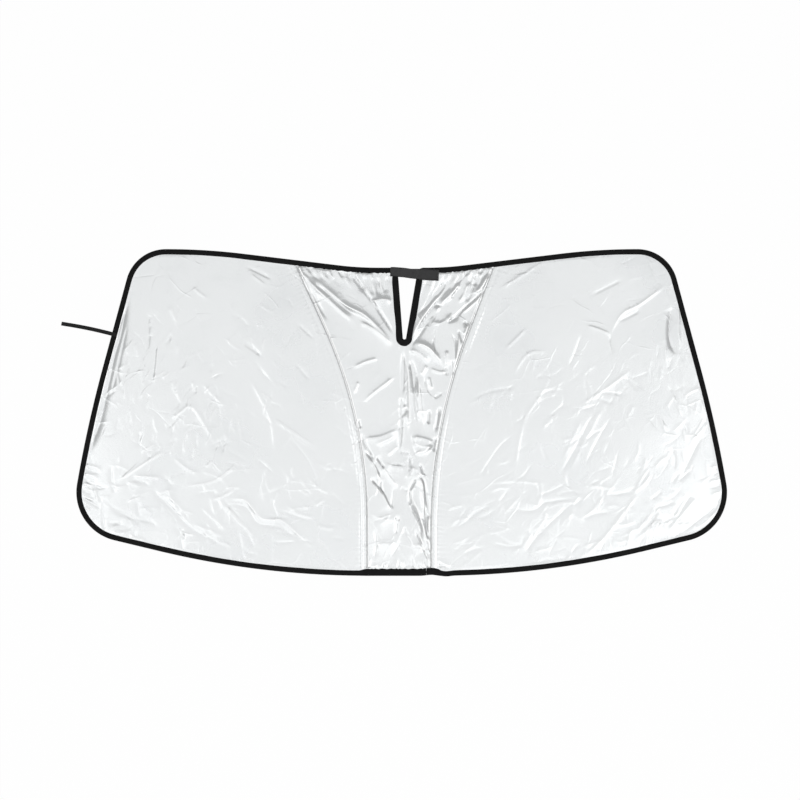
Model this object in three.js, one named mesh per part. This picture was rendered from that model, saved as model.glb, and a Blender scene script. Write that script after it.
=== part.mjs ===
import * as THREE from "three";

// Pop-up windscreen sunshade, lying open and flat with its silver side up, as the photograph shows it.
// Millimetres. X runs to the right, Y from the dashboard edge to the roof edge, and Z up from the surface that
// the shade lies on. The origin is under the tape at the middle of the dashboard edge.
//
// Two spring steel hoops stretch a silver cloth panel each. A gusset of the same cloth, gathered by elastic at
// both ends, joins them. One black tape binds the whole edge, and dips into the notch for the mirror's stem.

// Layers
const CLOTH = 0.3; // silver-coated cloth
const TAPE = 0.7; // binding tape
const BINDING_WIDTH = 11; // binding, from its fold to its lips
const WIRE = 1.6; // hoop wire, diameter
const ELASTIC = 1.6; // elastic cord in the gusset's binding, diameter
const FERRULE_WALL = 0.3;
const FERRULE_PLAY = 0.1; // between the wire and the ferrule's bore
const FERRULE_LENGTH = 16;
const WIRE_END_GAP = 1; // between the wire's two ends inside the ferrule
const FIT = 0.3; // clearance between layers that are sewn together

// Outline of the binding's fold, before its corners are rounded
const HEIGHT = 729; // from the dashboard edge to the roof corners
const ROOF_SAG = 41.5; // how far the roof edge dips at its middle
const SAG_INNER = 97; // half length of the dip's level middle
const SAG_INNER_REACH = 44;
const SAG_OUTER = 440; // where the roof edge is level again, from the middle
const SAG_OUTER_REACH = 85;
const ROOF_CORNER_X = 596;
const ROOF_RADIUS = 90;
const SIDE_KNEE_X = 701.5;
const SIDE_KNEE_Y = 339;
const SIDE_KNEE_REACH = 130; // how far the knee's rounding runs to each side
const DASH_CORNER_X = 742.8;
const DASH_CORNER_Y = 103.5;
const DASH_RADIUS = 110;
const DASH_KNEE_X = 313;
const DASH_FLAT = 78; // half length of its level middle
const DASH_KNEE_REACH = DASH_KNEE_X - DASH_FLAT;

// Mirror notch: where its two edges meet the roof edge, and the point that they run to
const MOUTH_X = 13.6;
const MOUTH_WIDTH = 47;
const MOUTH_RADIUS = 14;
const NOTCH_POINT_X = 4.4;
const NOTCH_POINT_DEPTH = 191.5; // below the roof edge
const NOTCH_RADIUS = 4.3;

// Seams between the gusset and the panels. Each runs up from its foot, bends at its knee and leans out to its head.
const LEFT_FOOT_X = 87;
const LEFT_KNEE_Y = 347;
const LEFT_HEAD_X = 249;
const RIGHT_FOOT_X = 75;
const RIGHT_KNEE_Y = 325;
const RIGHT_HEAD_X = 218;
const HEAD_DROP = 27; // the heads lie this far below the roof corners
const SEAM_KNEE_REACH = 225;
const HOOP_CORNER = 30; // how far from a seam's end its hoop leaves the binding
const LAP = 6; // the panel's hem reaches this far past the wire
const GUSSET_START = 2.2; // the gusset starts this far past the wire, under the hem
const CASING_HALF = 8; // half width of the strip under the wire

// Where the binding tape's two ends meet, on the dashboard edge
const TAPE_JOIN_X = 55;

// Relief of the cloth
const PANEL_WAVE = 1.4; // height of the panels' shallow waves
const GATHER_EDGE = 1.7; // depth of a gather inside the binding
const GATHER_HEIGHT = 4.5; // and outside it
const GATHER_REACH = 95; // how far the gathers run into the gusset
const QUIET_EDGE = 12; // cloth this near to an edge stays level
const QUIET_RAMP = 40; // and its relief is full this much further in

// Hook and loop closure across the notch's mouth
const STRAP_WIDTH = 25;
const STRAP_LENGTH = 107;
const STRAP_THICKNESS = 1.2;
const STRAP_LEFT_X = -25.5;
const STRAP_SLOPE = -0.057; // the strap drops this much for each millimetre to the right
const STRAP_BEND = 14; // length of its step up on to the loop patch
const PATCH_LENGTH = 41;
const PATCH_THICKNESS = 1.2;

// Elastic loop that holds the folded shade, sewn on to the left side of the binding
const LOOP_Y = 534;
const LOOP_LENGTH = 126;
const LOOP_WIDTH = 8;
const LOOP_PLY = 0.9;
const LOOP_ROOT = 11.5; // length sewn down on the binding
const LOOP_DROP = 16; // length over which it comes down to the floor
const LOOP_RISE_DEG = 11.8; // its direction above the -X axis
const LOOP_BOW = 1.8;

// Levels that follow
const FERRULE_BORE = WIRE + 2 * FERRULE_PLAY;
const FERRULE = FERRULE_BORE + 2 * FERRULE_WALL;
const WIRE_Z = TAPE + FIT + FERRULE / 2;
const CLOTH_Z = WIRE_Z + WIRE / 2 + FIT + CLOTH / 2;
const GUSSET_SEAM_Z = CLOTH_Z - CLOTH - FIT;
const BINDING_TOP = CLOTH_Z + CLOTH / 2 + FIT + TAPE;
const CASING_Z = WIRE_Z - WIRE / 2 - FIT - CLOTH / 2;
const WIRE_INSET = TAPE + FIT + FERRULE / 2; // from the fold to the wire's centre
const CLOTH_INSET = TAPE + FIT + FERRULE + FIT; // from the fold to the cloth's edge

// Outline levels that follow, from the tape's centre line on the dashboard edge
const EDGE_Y = -BINDING_WIDTH / 2;
const CORNER_Y = EDGE_Y + HEIGHT;
const ROOF_Y = CORNER_Y - ROOF_SAG;
const HEAD_Y = CORNER_Y - HEAD_DROP;
const NOTCH_POINT_Y = ROOF_Y - NOTCH_POINT_DEPTH;

// Fineness of the mesh
const ARC_STEP = THREE.MathUtils.degToRad(9);
const LONGEST_STEP = 48;
const WIRE_SIDES = 6;
const PANEL_COLUMNS = 17;
const PANEL_ROWS = 14;
const GUSSET_HALF_COLUMNS = 18;
const GUSSET_LOWER_ROWS = [0, 0.02, 0.06, 0.12, 0.2, 0.3, 0.41, 0.53, 0.65, 0.77, 0.89, 1]; // shares of its height
const GUSSET_UPPER_ROWS = [0, 0.07, 0.18, 0.33, 0.48, 0.62, 0.75, 0.86, 0.94, 0.976, 1];

const v2 = (x, y) => new THREE.Vector2(x, y);
const smooth = (t) => THREE.MathUtils.smoothstep(t, 0, 1);

const material = (color, roughness, metalness) => new THREE.MeshStandardMaterial({ color, roughness, metalness });
const silverCloth = material(0xd8dcdd, 0.38, 0.7);
const casingCloth = material(0xc4c9cb, 0.5, 0.5);
const blackTape = material(0x1a1a1c, 0.9, 0);
const springSteel = material(0x8b8f94, 0.35, 1);
const platedFerrule = material(0xb4b6b8, 0.3, 1);
const hookTape = material(0x37383a, 0.95, 0);
const elasticBlack = material(0x141416, 0.85, 0);

const shade = new THREE.Group();
shade.name = "windscreen_sunshade";

function add(name, geometry, finish) {
  const mesh = new THREE.Mesh(geometry, finish);
  mesh.name = name;
  shade.add(mesh);
}

// A line through corner points whose corners are rounded, each by its radius or by its reach along its two sides.
function roundedPath(corners, closed) {
  const path = new THREE.Path();
  const count = corners.length;
  const rounded = corners.map(({ x, y, radius = 0, reach = 0 }, i) => {
    const here = v2(x, y);
    if (!closed && (i === 0 || i === count - 1)) return { from: here, to: here };
    const before = corners[(i + count - 1) % count];
    const after = corners[(i + 1) % count];
    const way = here.clone().sub(v2(before.x, before.y)).normalize();
    const next = v2(after.x, after.y).sub(here).normalize();
    const turn = Math.atan2(way.cross(next), way.dot(next));
    const tangent = reach || radius * Math.tan(Math.abs(turn) / 2);
    if (tangent === 0 || turn === 0) return { from: here, to: here };
    const r = tangent / Math.tan(Math.abs(turn) / 2);
    const from = here.clone().addScaledVector(way, -tangent);
    const side = v2(-way.y, way.x).multiplyScalar(Math.sign(turn));
    return {
      from,
      to: here.clone().addScaledVector(next, tangent),
      centre: from.clone().addScaledVector(side, r),
      r,
      turn,
      start: Math.atan2(-side.y, -side.x),
    };
  });
  rounded.forEach(({ from, centre, r, turn, start }, i) => {
    if (i === 0) path.moveTo(from.x, from.y);
    else path.lineTo(from.x, from.y);
    if (centre) path.absarc(centre.x, centre.y, r, start, start + turn, turn < 0);
  });
  if (closed) path.lineTo(rounded[0].from.x, rounded[0].from.y);
  return path;
}

// Points along a path, close together on its arcs, with the unit normal to the right of the way and the distance.
function stationsOf(path) {
  const stations = [];
  let distance = 0;
  for (const curve of path.curves) {
    const length = curve.getLength();
    if (length < 1e-6) continue;
    const turn = curve.isEllipseCurve ? length / curve.xRadius : 0;
    const steps = Math.max(1, Math.ceil(turn / ARC_STEP), Math.ceil(length / LONGEST_STEP));
    for (let i = stations.length ? 1 : 0; i <= steps; i++) {
      const tangent = curve.getTangent(i / steps);
      const point = curve.getPoint(i / steps);
      stations.push({ point, normal: v2(tangent.y, -tangent.x), s: distance + (length * i) / steps });
    }
    distance += length;
  }
  return stations;
}

const offset = (stations, d) => stations.map(({ point, normal }) => point.clone().addScaledVector(normal, d));

// A run is a list of points. These read it by the distance along it.
function distancesOf(run) {
  const sums = [0];
  for (let i = 1; i < run.length; i++) sums.push(sums[i - 1] + run[i].distanceTo(run[i - 1]));
  return sums;
}

function pointAt(run, s, sums = distancesOf(run)) {
  let i = 1;
  while (i < run.length - 1 && sums[i] < s) i++;
  return run[i - 1].clone().lerp(run[i], (s - sums[i - 1]) / (sums[i] - sums[i - 1]));
}

function between(run, from, to) {
  const sums = distancesOf(run);
  const inside = run.filter((_, i) => sums[i] > from + 0.5 && sums[i] < to - 0.5);
  return [pointAt(run, from, sums), ...inside, pointAt(run, to, sums)];
}

// Points at shares of a run's length: a list of shares, or a number of equal steps
function resample(run, steps) {
  const shares = Array.isArray(steps) ? steps : Array.from({ length: steps + 1 }, (_, i) => i / steps);
  const sums = distancesOf(run);
  return shares.map((share) => pointAt(run, share * sums[sums.length - 1], sums));
}

// Distances along two runs to the place where they cross, or the nearest such place to a point.
function crossing(a, b, near) {
  const sumsA = distancesOf(a);
  const sumsB = distancesOf(b);
  let best = null;
  for (let i = 1; i < a.length; i++) {
    for (let j = 1; j < b.length; j++) {
      const u = a[i].clone().sub(a[i - 1]);
      const w = b[j].clone().sub(b[j - 1]);
      const gap = b[j - 1].clone().sub(a[i - 1]);
      const det = u.cross(w);
      if (Math.abs(det) < 1e-12) continue;
      const t = gap.cross(w) / det;
      const k = gap.cross(u) / det;
      if (t < 0 || t > 1 || k < 0 || k > 1) continue;
      const point = a[i - 1].clone().lerp(a[i], t);
      const away = point.distanceTo(near);
      if (!best || away < best.away) {
        best = { away, onA: sumsA[i - 1] + t * u.length(), onB: sumsB[j - 1] + k * w.length() };
      }
    }
  }
  return best;
}

function distanceToRun(point, run) {
  let least = Infinity;
  for (let i = 1; i < run.length; i++) {
    const along = run[i].clone().sub(run[i - 1]);
    const t = THREE.MathUtils.clamp(point.clone().sub(run[i - 1]).dot(along) / along.lengthSq(), 0, 1);
    least = Math.min(least, point.distanceTo(run[i - 1].clone().addScaledVector(along, t)));
  }
  return least;
}

// Closed body from faces whose corners are THREE.Vector3, with shared corners merged and its faces turned outwards.
function bodyOf(faces) {
  const positions = [];
  const index = [];
  const known = new Map();
  for (const face of faces) {
    const corners = face.map((p) => {
      const key = [p.x, p.y, p.z].map((c) => Math.round(c * 1e4)).join();
      if (!known.has(key)) {
        known.set(key, positions.length / 3);
        positions.push(p.x, p.y, p.z);
      }
      return known.get(key);
    });
    for (let i = 2; i < corners.length; i++) {
      const [a, b, c] = [corners[0], corners[i - 1], corners[i]];
      if (a !== b && b !== c && c !== a) index.push(a, b, c);
    }
  }
  const at = (i) => new THREE.Vector3().fromArray(positions, 3 * i);
  let volume = 0;
  for (let i = 0; i < index.length; i += 3) {
    volume += at(index[i]).dot(at(index[i + 1]).cross(at(index[i + 2])));
  }
  if (volume < 0) index.reverse();
  const geometry = new THREE.BufferGeometry();
  geometry.setAttribute("position", new THREE.Float32BufferAttribute(positions, 3));
  geometry.setIndex(index);
  geometry.computeVertexNormals();
  return geometry;
}

// A section swept along a run of points in plan. The section is a list of [inset, z] corners, and inset is
// measured along each point's normal.
function sweep(points, normals, outline) {
  const flat = outline.map(([inset, z]) => v2(inset, z));
  const section = THREE.ShapeUtils.isClockWise(flat) ? [...outline].reverse() : outline;
  const rings = points.map((p, i) =>
    section.map(([inset, z]) => new THREE.Vector3(p.x + normals[i].x * inset, p.y + normals[i].y * inset, z)),
  );
  const faces = [];
  for (let i = 1; i < rings.length; i++) {
    section.forEach((_, k) => {
      const n = (k + 1) % section.length;
      faces.push([rings[i - 1][k], rings[i - 1][n], rings[i][n], rings[i][k]]);
    });
  }
  const corners = section.map(([inset, z]) => v2(inset, z));
  for (const [a, b, c] of THREE.ShapeUtils.triangulateShape(corners, [])) {
    const [first, last] = [rings[0], rings[rings.length - 1]];
    faces.push([first[c], first[b], first[a]], [last[a], last[b], last[c]]);
  }
  return bodyOf(faces);
}

function normalsOf(run) {
  return run.map((_, i) => {
    const way = run[Math.min(i + 1, run.length - 1)].clone().sub(run[Math.max(i - 1, 0)]).normalize();
    return v2(way.y, -way.x);
  });
}

const roundSection = (radius, z) =>
  Array.from({ length: WIRE_SIDES }, (_, i) => {
    const angle = (2 * Math.PI * (i + 0.5)) / WIRE_SIDES;
    return [radius * Math.cos(angle), z + radius * Math.sin(angle)];
  });

// Cloth of one thickness about a middle surface, given as quads of THREE.Vector3. Its free edges are walled.
function clothBody(quads) {
  const keyOf = (p) => [p.x, p.y].map((c) => Math.round(c * 1e3)).join();
  const lift = (p, dz) => new THREE.Vector3(p.x, p.y, p.z + dz);
  const faces = [];
  const edges = new Map();
  for (const [a, b, c, d] of quads) {
    for (const face of [[a, b, c], [a, c, d]]) {
      const keys = face.map(keyOf);
      if (new Set(keys).size < 3) continue;
      faces.push(face.map((p) => lift(p, CLOTH / 2)));
      faces.push(face.map((p) => lift(p, -CLOTH / 2)).reverse());
      face.forEach((p, i) => {
        const q = face[(i + 1) % 3];
        const back = keyOf(q) + "/" + keyOf(p);
        if (edges.has(back)) edges.delete(back);
        else edges.set(keyOf(p) + "/" + keyOf(q), [p, q]);
      });
    }
  }
  for (const [p, q] of edges.values()) {
    faces.push([lift(q, CLOTH / 2), lift(p, CLOTH / 2), lift(p, -CLOTH / 2), lift(q, -CLOTH / 2)]);
  }
  return bodyOf(faces);
}

const quadsOf = (grid) =>
  grid.slice(1).flatMap((row, i) => row.slice(1).map((p, j) => [grid[i][j], grid[i][j + 1], p, row[j]]));

// Plan grid between four edge runs: from bottom to top by rows, each row from left to right.
function patch(bottom, top, left, right) {
  const rows = left.length - 1;
  const columns = bottom.length - 1;
  return left.map((l, j) =>
    bottom.map((b, i) => {
      const u = i / columns;
      const v = j / rows;
      const across = l.clone().lerp(right[j], u);
      const up = b.clone().lerp(top[i], v);
      const low = bottom[0].clone().lerp(bottom[columns], u);
      const high = top[0].clone().lerp(top[columns], u);
      return across.add(up).sub(low.lerp(high, v));
    }),
  );
}

// Outline of the binding's fold, clockwise from the join of the tape's ends
const outerCorners = [
  { x: DASH_KNEE_X, y: EDGE_Y, reach: DASH_KNEE_REACH },
  { x: DASH_CORNER_X, y: EDGE_Y + DASH_CORNER_Y, radius: DASH_RADIUS },
  { x: SIDE_KNEE_X, y: EDGE_Y + SIDE_KNEE_Y, reach: SIDE_KNEE_REACH },
  { x: ROOF_CORNER_X, y: CORNER_Y, radius: ROOF_RADIUS },
  { x: SAG_OUTER, y: CORNER_Y, reach: SAG_OUTER_REACH },
  { x: SAG_INNER, y: ROOF_Y, reach: SAG_INNER_REACH },
];
const notchCorners = [
  { x: MOUTH_X - MOUTH_WIDTH / 2, y: ROOF_Y, radius: MOUTH_RADIUS },
  { x: NOTCH_POINT_X, y: NOTCH_POINT_Y, radius: NOTCH_RADIUS },
  { x: MOUTH_X + MOUTH_WIDTH / 2, y: ROOF_Y, radius: MOUTH_RADIUS },
];
const foldCorners = [
  { x: TAPE_JOIN_X, y: EDGE_Y },
  ...outerCorners.map((c) => ({ ...c, x: -c.x })),
  ...notchCorners,
  ...[...outerCorners].reverse(),
];
const fold = stationsOf(roundedPath(foldCorners, true));
const wireLine = offset(fold, WIRE_INSET);
const clothLine = offset(fold, CLOTH_INSET);
const lipLine = offset(fold, BINDING_WIDTH);

// The binding: a tape folded over the edge, open towards the cloth
const FOLD_CHAMFER = 1.3 * TAPE;
const bindingSection = [
  [BINDING_WIDTH, 0],
  [FOLD_CHAMFER, 0],
  [0, FOLD_CHAMFER],
  [0, BINDING_TOP - FOLD_CHAMFER],
  [FOLD_CHAMFER, BINDING_TOP],
  [BINDING_WIDTH, BINDING_TOP],
  [BINDING_WIDTH, BINDING_TOP - TAPE],
  [TAPE, BINDING_TOP - TAPE],
  [TAPE, TAPE],
  [BINDING_WIDTH, TAPE],
];
const tapeLine = fold.map(({ point }) => point);
tapeLine[0] = tapeLine[0].clone().add(v2(-FIT / 2, 0));
tapeLine[tapeLine.length - 1] = tapeLine[tapeLine.length - 1].clone().add(v2(FIT / 2, 0));
add("edge_binding", sweep(tapeLine, fold.map(({ normal }) => normal), bindingSection), blackTape);

// Seam lines, from below the dashboard edge to above the roof edge, at an offset towards the gusset
const SEAM_OVERRUN = 60;
function seamLine(side, towardsGusset) {
  const [sign, footX, kneeY, headX] =
    side === "left" ? [-1, LEFT_FOOT_X, LEFT_KNEE_Y, LEFT_HEAD_X] : [1, RIGHT_FOOT_X, RIGHT_KNEE_Y, RIGHT_HEAD_X];
  const knee = v2(footX, EDGE_Y + kneeY);
  const lean = v2(headX, HEAD_Y).sub(knee).normalize();
  const end = v2(headX, HEAD_Y).addScaledVector(lean, SEAM_OVERRUN);
  const corners = [
    { x: sign * footX, y: EDGE_Y - SEAM_OVERRUN },
    { x: sign * knee.x, y: knee.y, reach: SEAM_KNEE_REACH },
    { x: sign * end.x, y: end.y },
  ];
  const stations = stationsOf(roundedPath(corners, false));
  return offset(stations, side === "left" ? towardsGusset : -towardsGusset);
}

const footOf = (side) => v2(side === "left" ? -LEFT_FOOT_X : RIGHT_FOOT_X, EDGE_Y);
const headOf = (side) => v2(side === "left" ? -LEFT_HEAD_X : RIGHT_HEAD_X, HEAD_Y);

// The part of a seam line that lies inside an edge line
function trimmedSeam(side, towardsGusset, edge, shortBy = 0) {
  const line = seamLine(side, towardsGusset);
  const low = crossing(line, edge, footOf(side)).onA;
  const high = crossing(line, edge, headOf(side)).onA;
  return between(line, low + shortBy, high - shortBy);
}

// The stretch of an edge line that a side's hoop follows, upwards from its seam's foot to its head
function hoopStretch(side, edge, towardsGusset, shortBy = 0) {
  const run = side === "left" ? edge : [...edge].reverse();
  const line = seamLine(side, towardsGusset);
  const start = crossing(run, line, footOf(side)).onA;
  const end = crossing(run, line, headOf(side)).onA;
  return between(run, start + shortBy, end - shortBy);
}

const cornerCurve = (from, corner, to) => new THREE.QuadraticBezierCurve(from, corner, to).getPoints(6).slice(1, -1);

for (const side of ["left", "right"]) {
  // Hoop: wire round the panel, in the binding outside and in the casing along the seam
  const outer = hoopStretch(side, wireLine, 0, HOOP_CORNER);
  const seam = trimmedSeam(side, 0, wireLine, HOOP_CORNER);
  const whole = trimmedSeam(side, 0, wireLine);
  const headCorner = cornerCurve(outer[outer.length - 1], whole[whole.length - 1], seam[seam.length - 1]);
  const footCorner = cornerCurve(seam[0], whole[0], outer[0]);
  const loop = [...outer, ...headCorner, ...[...seam].reverse(), ...footCorner, outer[0]];
  // The wire's ends meet in a ferrule on the dashboard edge, where the binding runs straight to its corner.
  const knee = v2(Math.sign(footOf(side).x) * (DASH_KNEE_X + DASH_KNEE_REACH), EDGE_Y + DASH_CORNER_Y / 2);
  const sums = distancesOf(loop);
  const nearest = loop.reduce((best, p, i) => (p.distanceTo(knee) < loop[best].distanceTo(knee) ? i : best), 0);
  const ferruleAt = (sums[nearest] + sums[nearest + 1]) / 2;
  const total = sums[sums.length - 1];
  const doubled = [...loop, ...loop.slice(1)];
  const wire = between(doubled, ferruleAt + WIRE_END_GAP / 2, ferruleAt + total - WIRE_END_GAP / 2);
  add(side + "_hoop", sweep(wire, normalsOf(wire), roundSection(WIRE / 2, WIRE_Z)), springSteel);

  const bore = roundSection(FERRULE_BORE / 2, WIRE_Z);
  const barrel = roundSection(FERRULE / 2, WIRE_Z);
  const sleeve = [ferruleAt - FERRULE_LENGTH / 2, ferruleAt + FERRULE_LENGTH / 2].map((s) => pointAt(loop, s));
  add(side + "_ferrule", tubeBody(sleeve, barrel, bore), platedFerrule);

  // Casing: a strip of cloth under the wire, sewn to panel and gusset
  const strip = resample(trimmedSeam(side, 0, lipLine, FIT), 12);
  const stripSection = [
    [-CASING_HALF, CASING_Z - CLOTH / 2],
    [CASING_HALF, CASING_Z - CLOTH / 2],
    [CASING_HALF, CASING_Z + CLOTH / 2],
    [-CASING_HALF, CASING_Z + CLOTH / 2],
  ];
  add(side + "_casing", sweep(strip, normalsOf(strip), stripSection), casingCloth);
}

// A short straight tube between two points in plan
function tubeBody([from, to], outside, inside) {
  const way = to.clone().sub(from).normalize();
  const at = (p, [inset, z]) => new THREE.Vector3(p.x + way.y * inset, p.y - way.x * inset, z);
  const faces = [];
  outside.forEach((_, k) => {
    const n = (k + 1) % outside.length;
    const [a, b, c, d] = [outside[k], outside[n], inside[n], inside[k]];
    faces.push([at(from, a), at(to, a), at(to, b), at(from, b)]);
    faces.push([at(from, c), at(to, c), at(to, d), at(from, d)]);
    faces.push([at(from, b), at(from, c), at(from, d), at(from, a)]);
    faces.push([at(to, a), at(to, d), at(to, c), at(to, b)]);
  });
  return bodyOf(faces);
}

// How freely the cloth may leave its level at a point: 0 near an edge or under the strap, 1 well inside
function freedom(point, edges) {
  const inside = Math.min(...edges.map((run) => distanceToRun(point, run)));
  return smooth((inside - QUIET_EDGE) / QUIET_RAMP);
}

// Panels: taut cloth with shallow waves that run off its corners
for (const side of ["left", "right"]) {
  const sign = side === "left" ? -1 : 1;
  const outer = hoopStretch(side, clothLine, LAP);
  const cornerNear = (x, y) => {
    const target = v2(sign * x, y);
    const sums = distancesOf(outer);
    const best = outer.reduce((b, p, i) => (p.distanceTo(target) < outer[b].distanceTo(target) ? i : b), 0);
    return sums[best];
  };
  const dashCorner = cornerNear(DASH_CORNER_X, EDGE_Y + DASH_CORNER_Y);
  const roofCorner = cornerNear(ROOF_CORNER_X, CORNER_Y);
  const total = distancesOf(outer).at(-1);
  const innerEdge = trimmedSeam(side, -2 * LAP, clothLine);
  const innerLow = crossing(outer, seamLine(side, -2 * LAP), footOf(side)).onA;
  const innerHigh = crossing(outer, seamLine(side, -2 * LAP), headOf(side)).onA;
  const low = resample(between(outer, innerLow, dashCorner), PANEL_COLUMNS).reverse();
  const high = resample(between(outer, roofCorner, innerHigh), PANEL_COLUMNS);
  const far = resample(between(outer, dashCorner, roofCorner), PANEL_ROWS);
  const near = resample(innerEdge, PANEL_ROWS);
  const plan = patch(low, high, far, near);
  for (const towardsGusset of [-LAP, 0, LAP]) {
    resample(trimmedSeam(side, towardsGusset, clothLine), PANEL_ROWS).forEach((p, j) => plan[j].push(p));
  }
  const edges = [between(outer, 0, total), innerEdge];
  const surface = plan.map((row, j) =>
    row.map((p, i) => {
      const wave = i > PANEL_COLUMNS ? 0 : freedom(p, edges) * PANEL_WAVE * panelWave(i, j);
      return new THREE.Vector3(p.x, p.y, CLOTH_Z + wave);
    }),
  );
  const quads = quadsOf(surface);
  add(side + "_panel", clothBody(side === "left" ? quads : quads.map((q) => [...q].reverse())), silverCloth);
}

// Waves of a panel, from -1 to 1, by its column and row: long diagonal swells, and facets between them
function panelWave(i, j) {
  return 0.6 * Math.sin(0.9 * i + 0.5 * j) + 0.4 * Math.sin(2.3 * i - 1.7 * j);
}

// Gusset: a lower part and two upper parts beside the notch, one plan grid each, joined along the notch's level.
// Its outermost columns lie under the panels' hems.
const HEM_CLEAR = LAP + 1.5; // the gusset rises to the panels' level this far past the wire
const SHOULDER_DROP = 40; // the lower part's upper corners lie this far below the notch's tip
const gussetSeams = ["left", "right"].map((side) =>
  [HEM_CLEAR, GUSSET_START].map((towardsGusset) => trimmedSeam(side, towardsGusset, clothLine)),
);
const notchPoint = v2(NOTCH_POINT_X, NOTCH_POINT_Y);
const nearestTo = (target) => (best, p, i, run) => (p.distanceTo(target) < run[best].distanceTo(target) ? i : best);
const tipIndex = clothLine.reduce(nearestTo(notchPoint), 0);
const tip = clothLine[tipIndex];

// A seam line's two parts, below and above the shoulder
function atShoulder(run) {
  const sums = distancesOf(run);
  const total = sums[sums.length - 1];
  const level = [v2(-DASH_CORNER_X, tip.y - SHOULDER_DROP), v2(DASH_CORNER_X, tip.y - SHOULDER_DROP)];
  const s = crossing(run, level, tip).onA;
  return { below: between(run, 0, s), above: between(run, s, total) };
}

// The roof edge's stretch and the notch's edge beside it, each from the seam or from the tip
function upperEdges(side) {
  const [seam] = gussetSeams[side === "left" ? 0 : 1];
  const run = side === "left" ? clothLine : [...clothLine].reverse();
  const head = crossing(run, seamLine(side, HEM_CLEAR), headOf(side)).onA;
  const sums = distancesOf(run);
  const mouth = v2(MOUTH_X + (side === "left" ? -1 : 1) * (MOUTH_WIDTH / 2), ROOF_Y);
  const corner = sums[run.reduce(nearestTo(mouth), 0)];
  const end = sums[run.reduce(nearestTo(notchPoint), 0)];
  return { seam, roof: between(run, head, corner), notch: between(run, corner, end).reverse() };
}

const rowsOf = { below: GUSSET_LOWER_ROWS, above: GUSSET_UPPER_ROWS };
const seamRun = (side, line, part) => resample(atShoulder(gussetSeams[side][line])[part], rowsOf[part]);
const straight = (from, to, count) => Array.from({ length: count + 1 }, (_, i) => from.clone().lerp(to, i / count));

function gussetPlans() {
  const [low, high] = [0, 1].map((side) => seamRun(side, 0, "below"));
  const waist = [
    ...straight(low[low.length - 1], tip, GUSSET_HALF_COLUMNS),
    ...straight(tip, high[high.length - 1], GUSSET_HALF_COLUMNS).slice(1),
  ];
  const lower = patch(straight(low[0], high[0], 2 * GUSSET_HALF_COLUMNS), waist, low, high);
  const uppers = ["left", "right"].map((side, k) => {
    const { roof, notch } = upperEdges(side);
    const half = k === 0 ? waist.slice(0, GUSSET_HALF_COLUMNS + 1) : waist.slice(GUSSET_HALF_COLUMNS).reverse();
    const top = resample(roof, GUSSET_HALF_COLUMNS);
    return patch(half, top, seamRun(k, 0, "above"), resample(notch, GUSSET_UPPER_ROWS));
  });
  return { lower, uppers };
}

// How strongly a column's gather is drawn, from 0.4 to 1
const gatherShare = (i) => 0.7 + 0.3 * Math.sin(2.1 * i + 0.6);
const roofEdge = clothLine.filter((p) => p.y > ROOF_Y - BINDING_WIDTH);
const dashEdge = straight(v2(-SAG_OUTER, EDGE_Y + CLOTH_INSET), v2(SAG_OUTER, EDGE_Y + CLOTH_INSET), 1);
const notchEdge = clothLine.filter((p) => Math.abs(p.x - MOUTH_X) < MOUTH_WIDTH && p.y > tip.y - 1);

// Height of the gusset at a point of one of its columns: pleats at both gathered ends, and soft folds between
function gussetHeight(point, column) {
  const inBinding = BINDING_WIDTH - CLOTH_INSET + FIT;
  const drawn = Math.min(distanceToRun(point, roofEdge), distanceToRun(point, dashEdge));
  const crest = column % 2 === 0 ? 1 : 0;
  if (drawn <= inBinding) return CLOTH_Z - GATHER_EDGE * (1 - crest) * gatherShare(column);
  const seams = gussetSeams.map(([run]) => run);
  const free = freedom(point, [...seams, roofEdge, dashEdge, notchEdge]);
  const gather = (crest - 0.3) * GATHER_HEIGHT * gatherShare(column) * (1 - smooth(drawn / GATHER_REACH));
  return CLOTH_Z + free * (gather + PANEL_WAVE * Math.sin(0.85 * column));
}

const { lower, uppers } = gussetPlans();
const raised = (plan, first) =>
  plan.map((row) => row.map((p, i) => new THREE.Vector3(p.x, p.y, gussetHeight(p, Math.abs(first - i)))));
const level = (p) => new THREE.Vector3(p.x, p.y, GUSSET_SEAM_Z);

// Adds the two columns that lie under a hem before a grid's first column
function tucked(surface, side, part) {
  const under = seamRun(side, 1, part);
  return surface.map((row, j) => [level(under[j]), level(row[0]), ...row.slice(1)]);
}

const lowerSurface = raised(lower, 0);
const lowerTucked = tucked(tucked(lowerSurface, 0, "below").map((row) => row.reverse()), 1, "below");
const [leftSurface, rightSurface] = uppers.map((plan, side) =>
  tucked(raised(plan, side === 0 ? 0 : 2 * GUSSET_HALF_COLUMNS), side, "above"),
);
const turnedOver = (quads) => quads.map((q) => [...q].reverse());
add(
  "centre_gusset",
  clothBody([...turnedOver(quadsOf(lowerTucked)), ...quadsOf(leftSurface), ...turnedOver(quadsOf(rightSurface))]),
  silverCloth,
);

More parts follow.
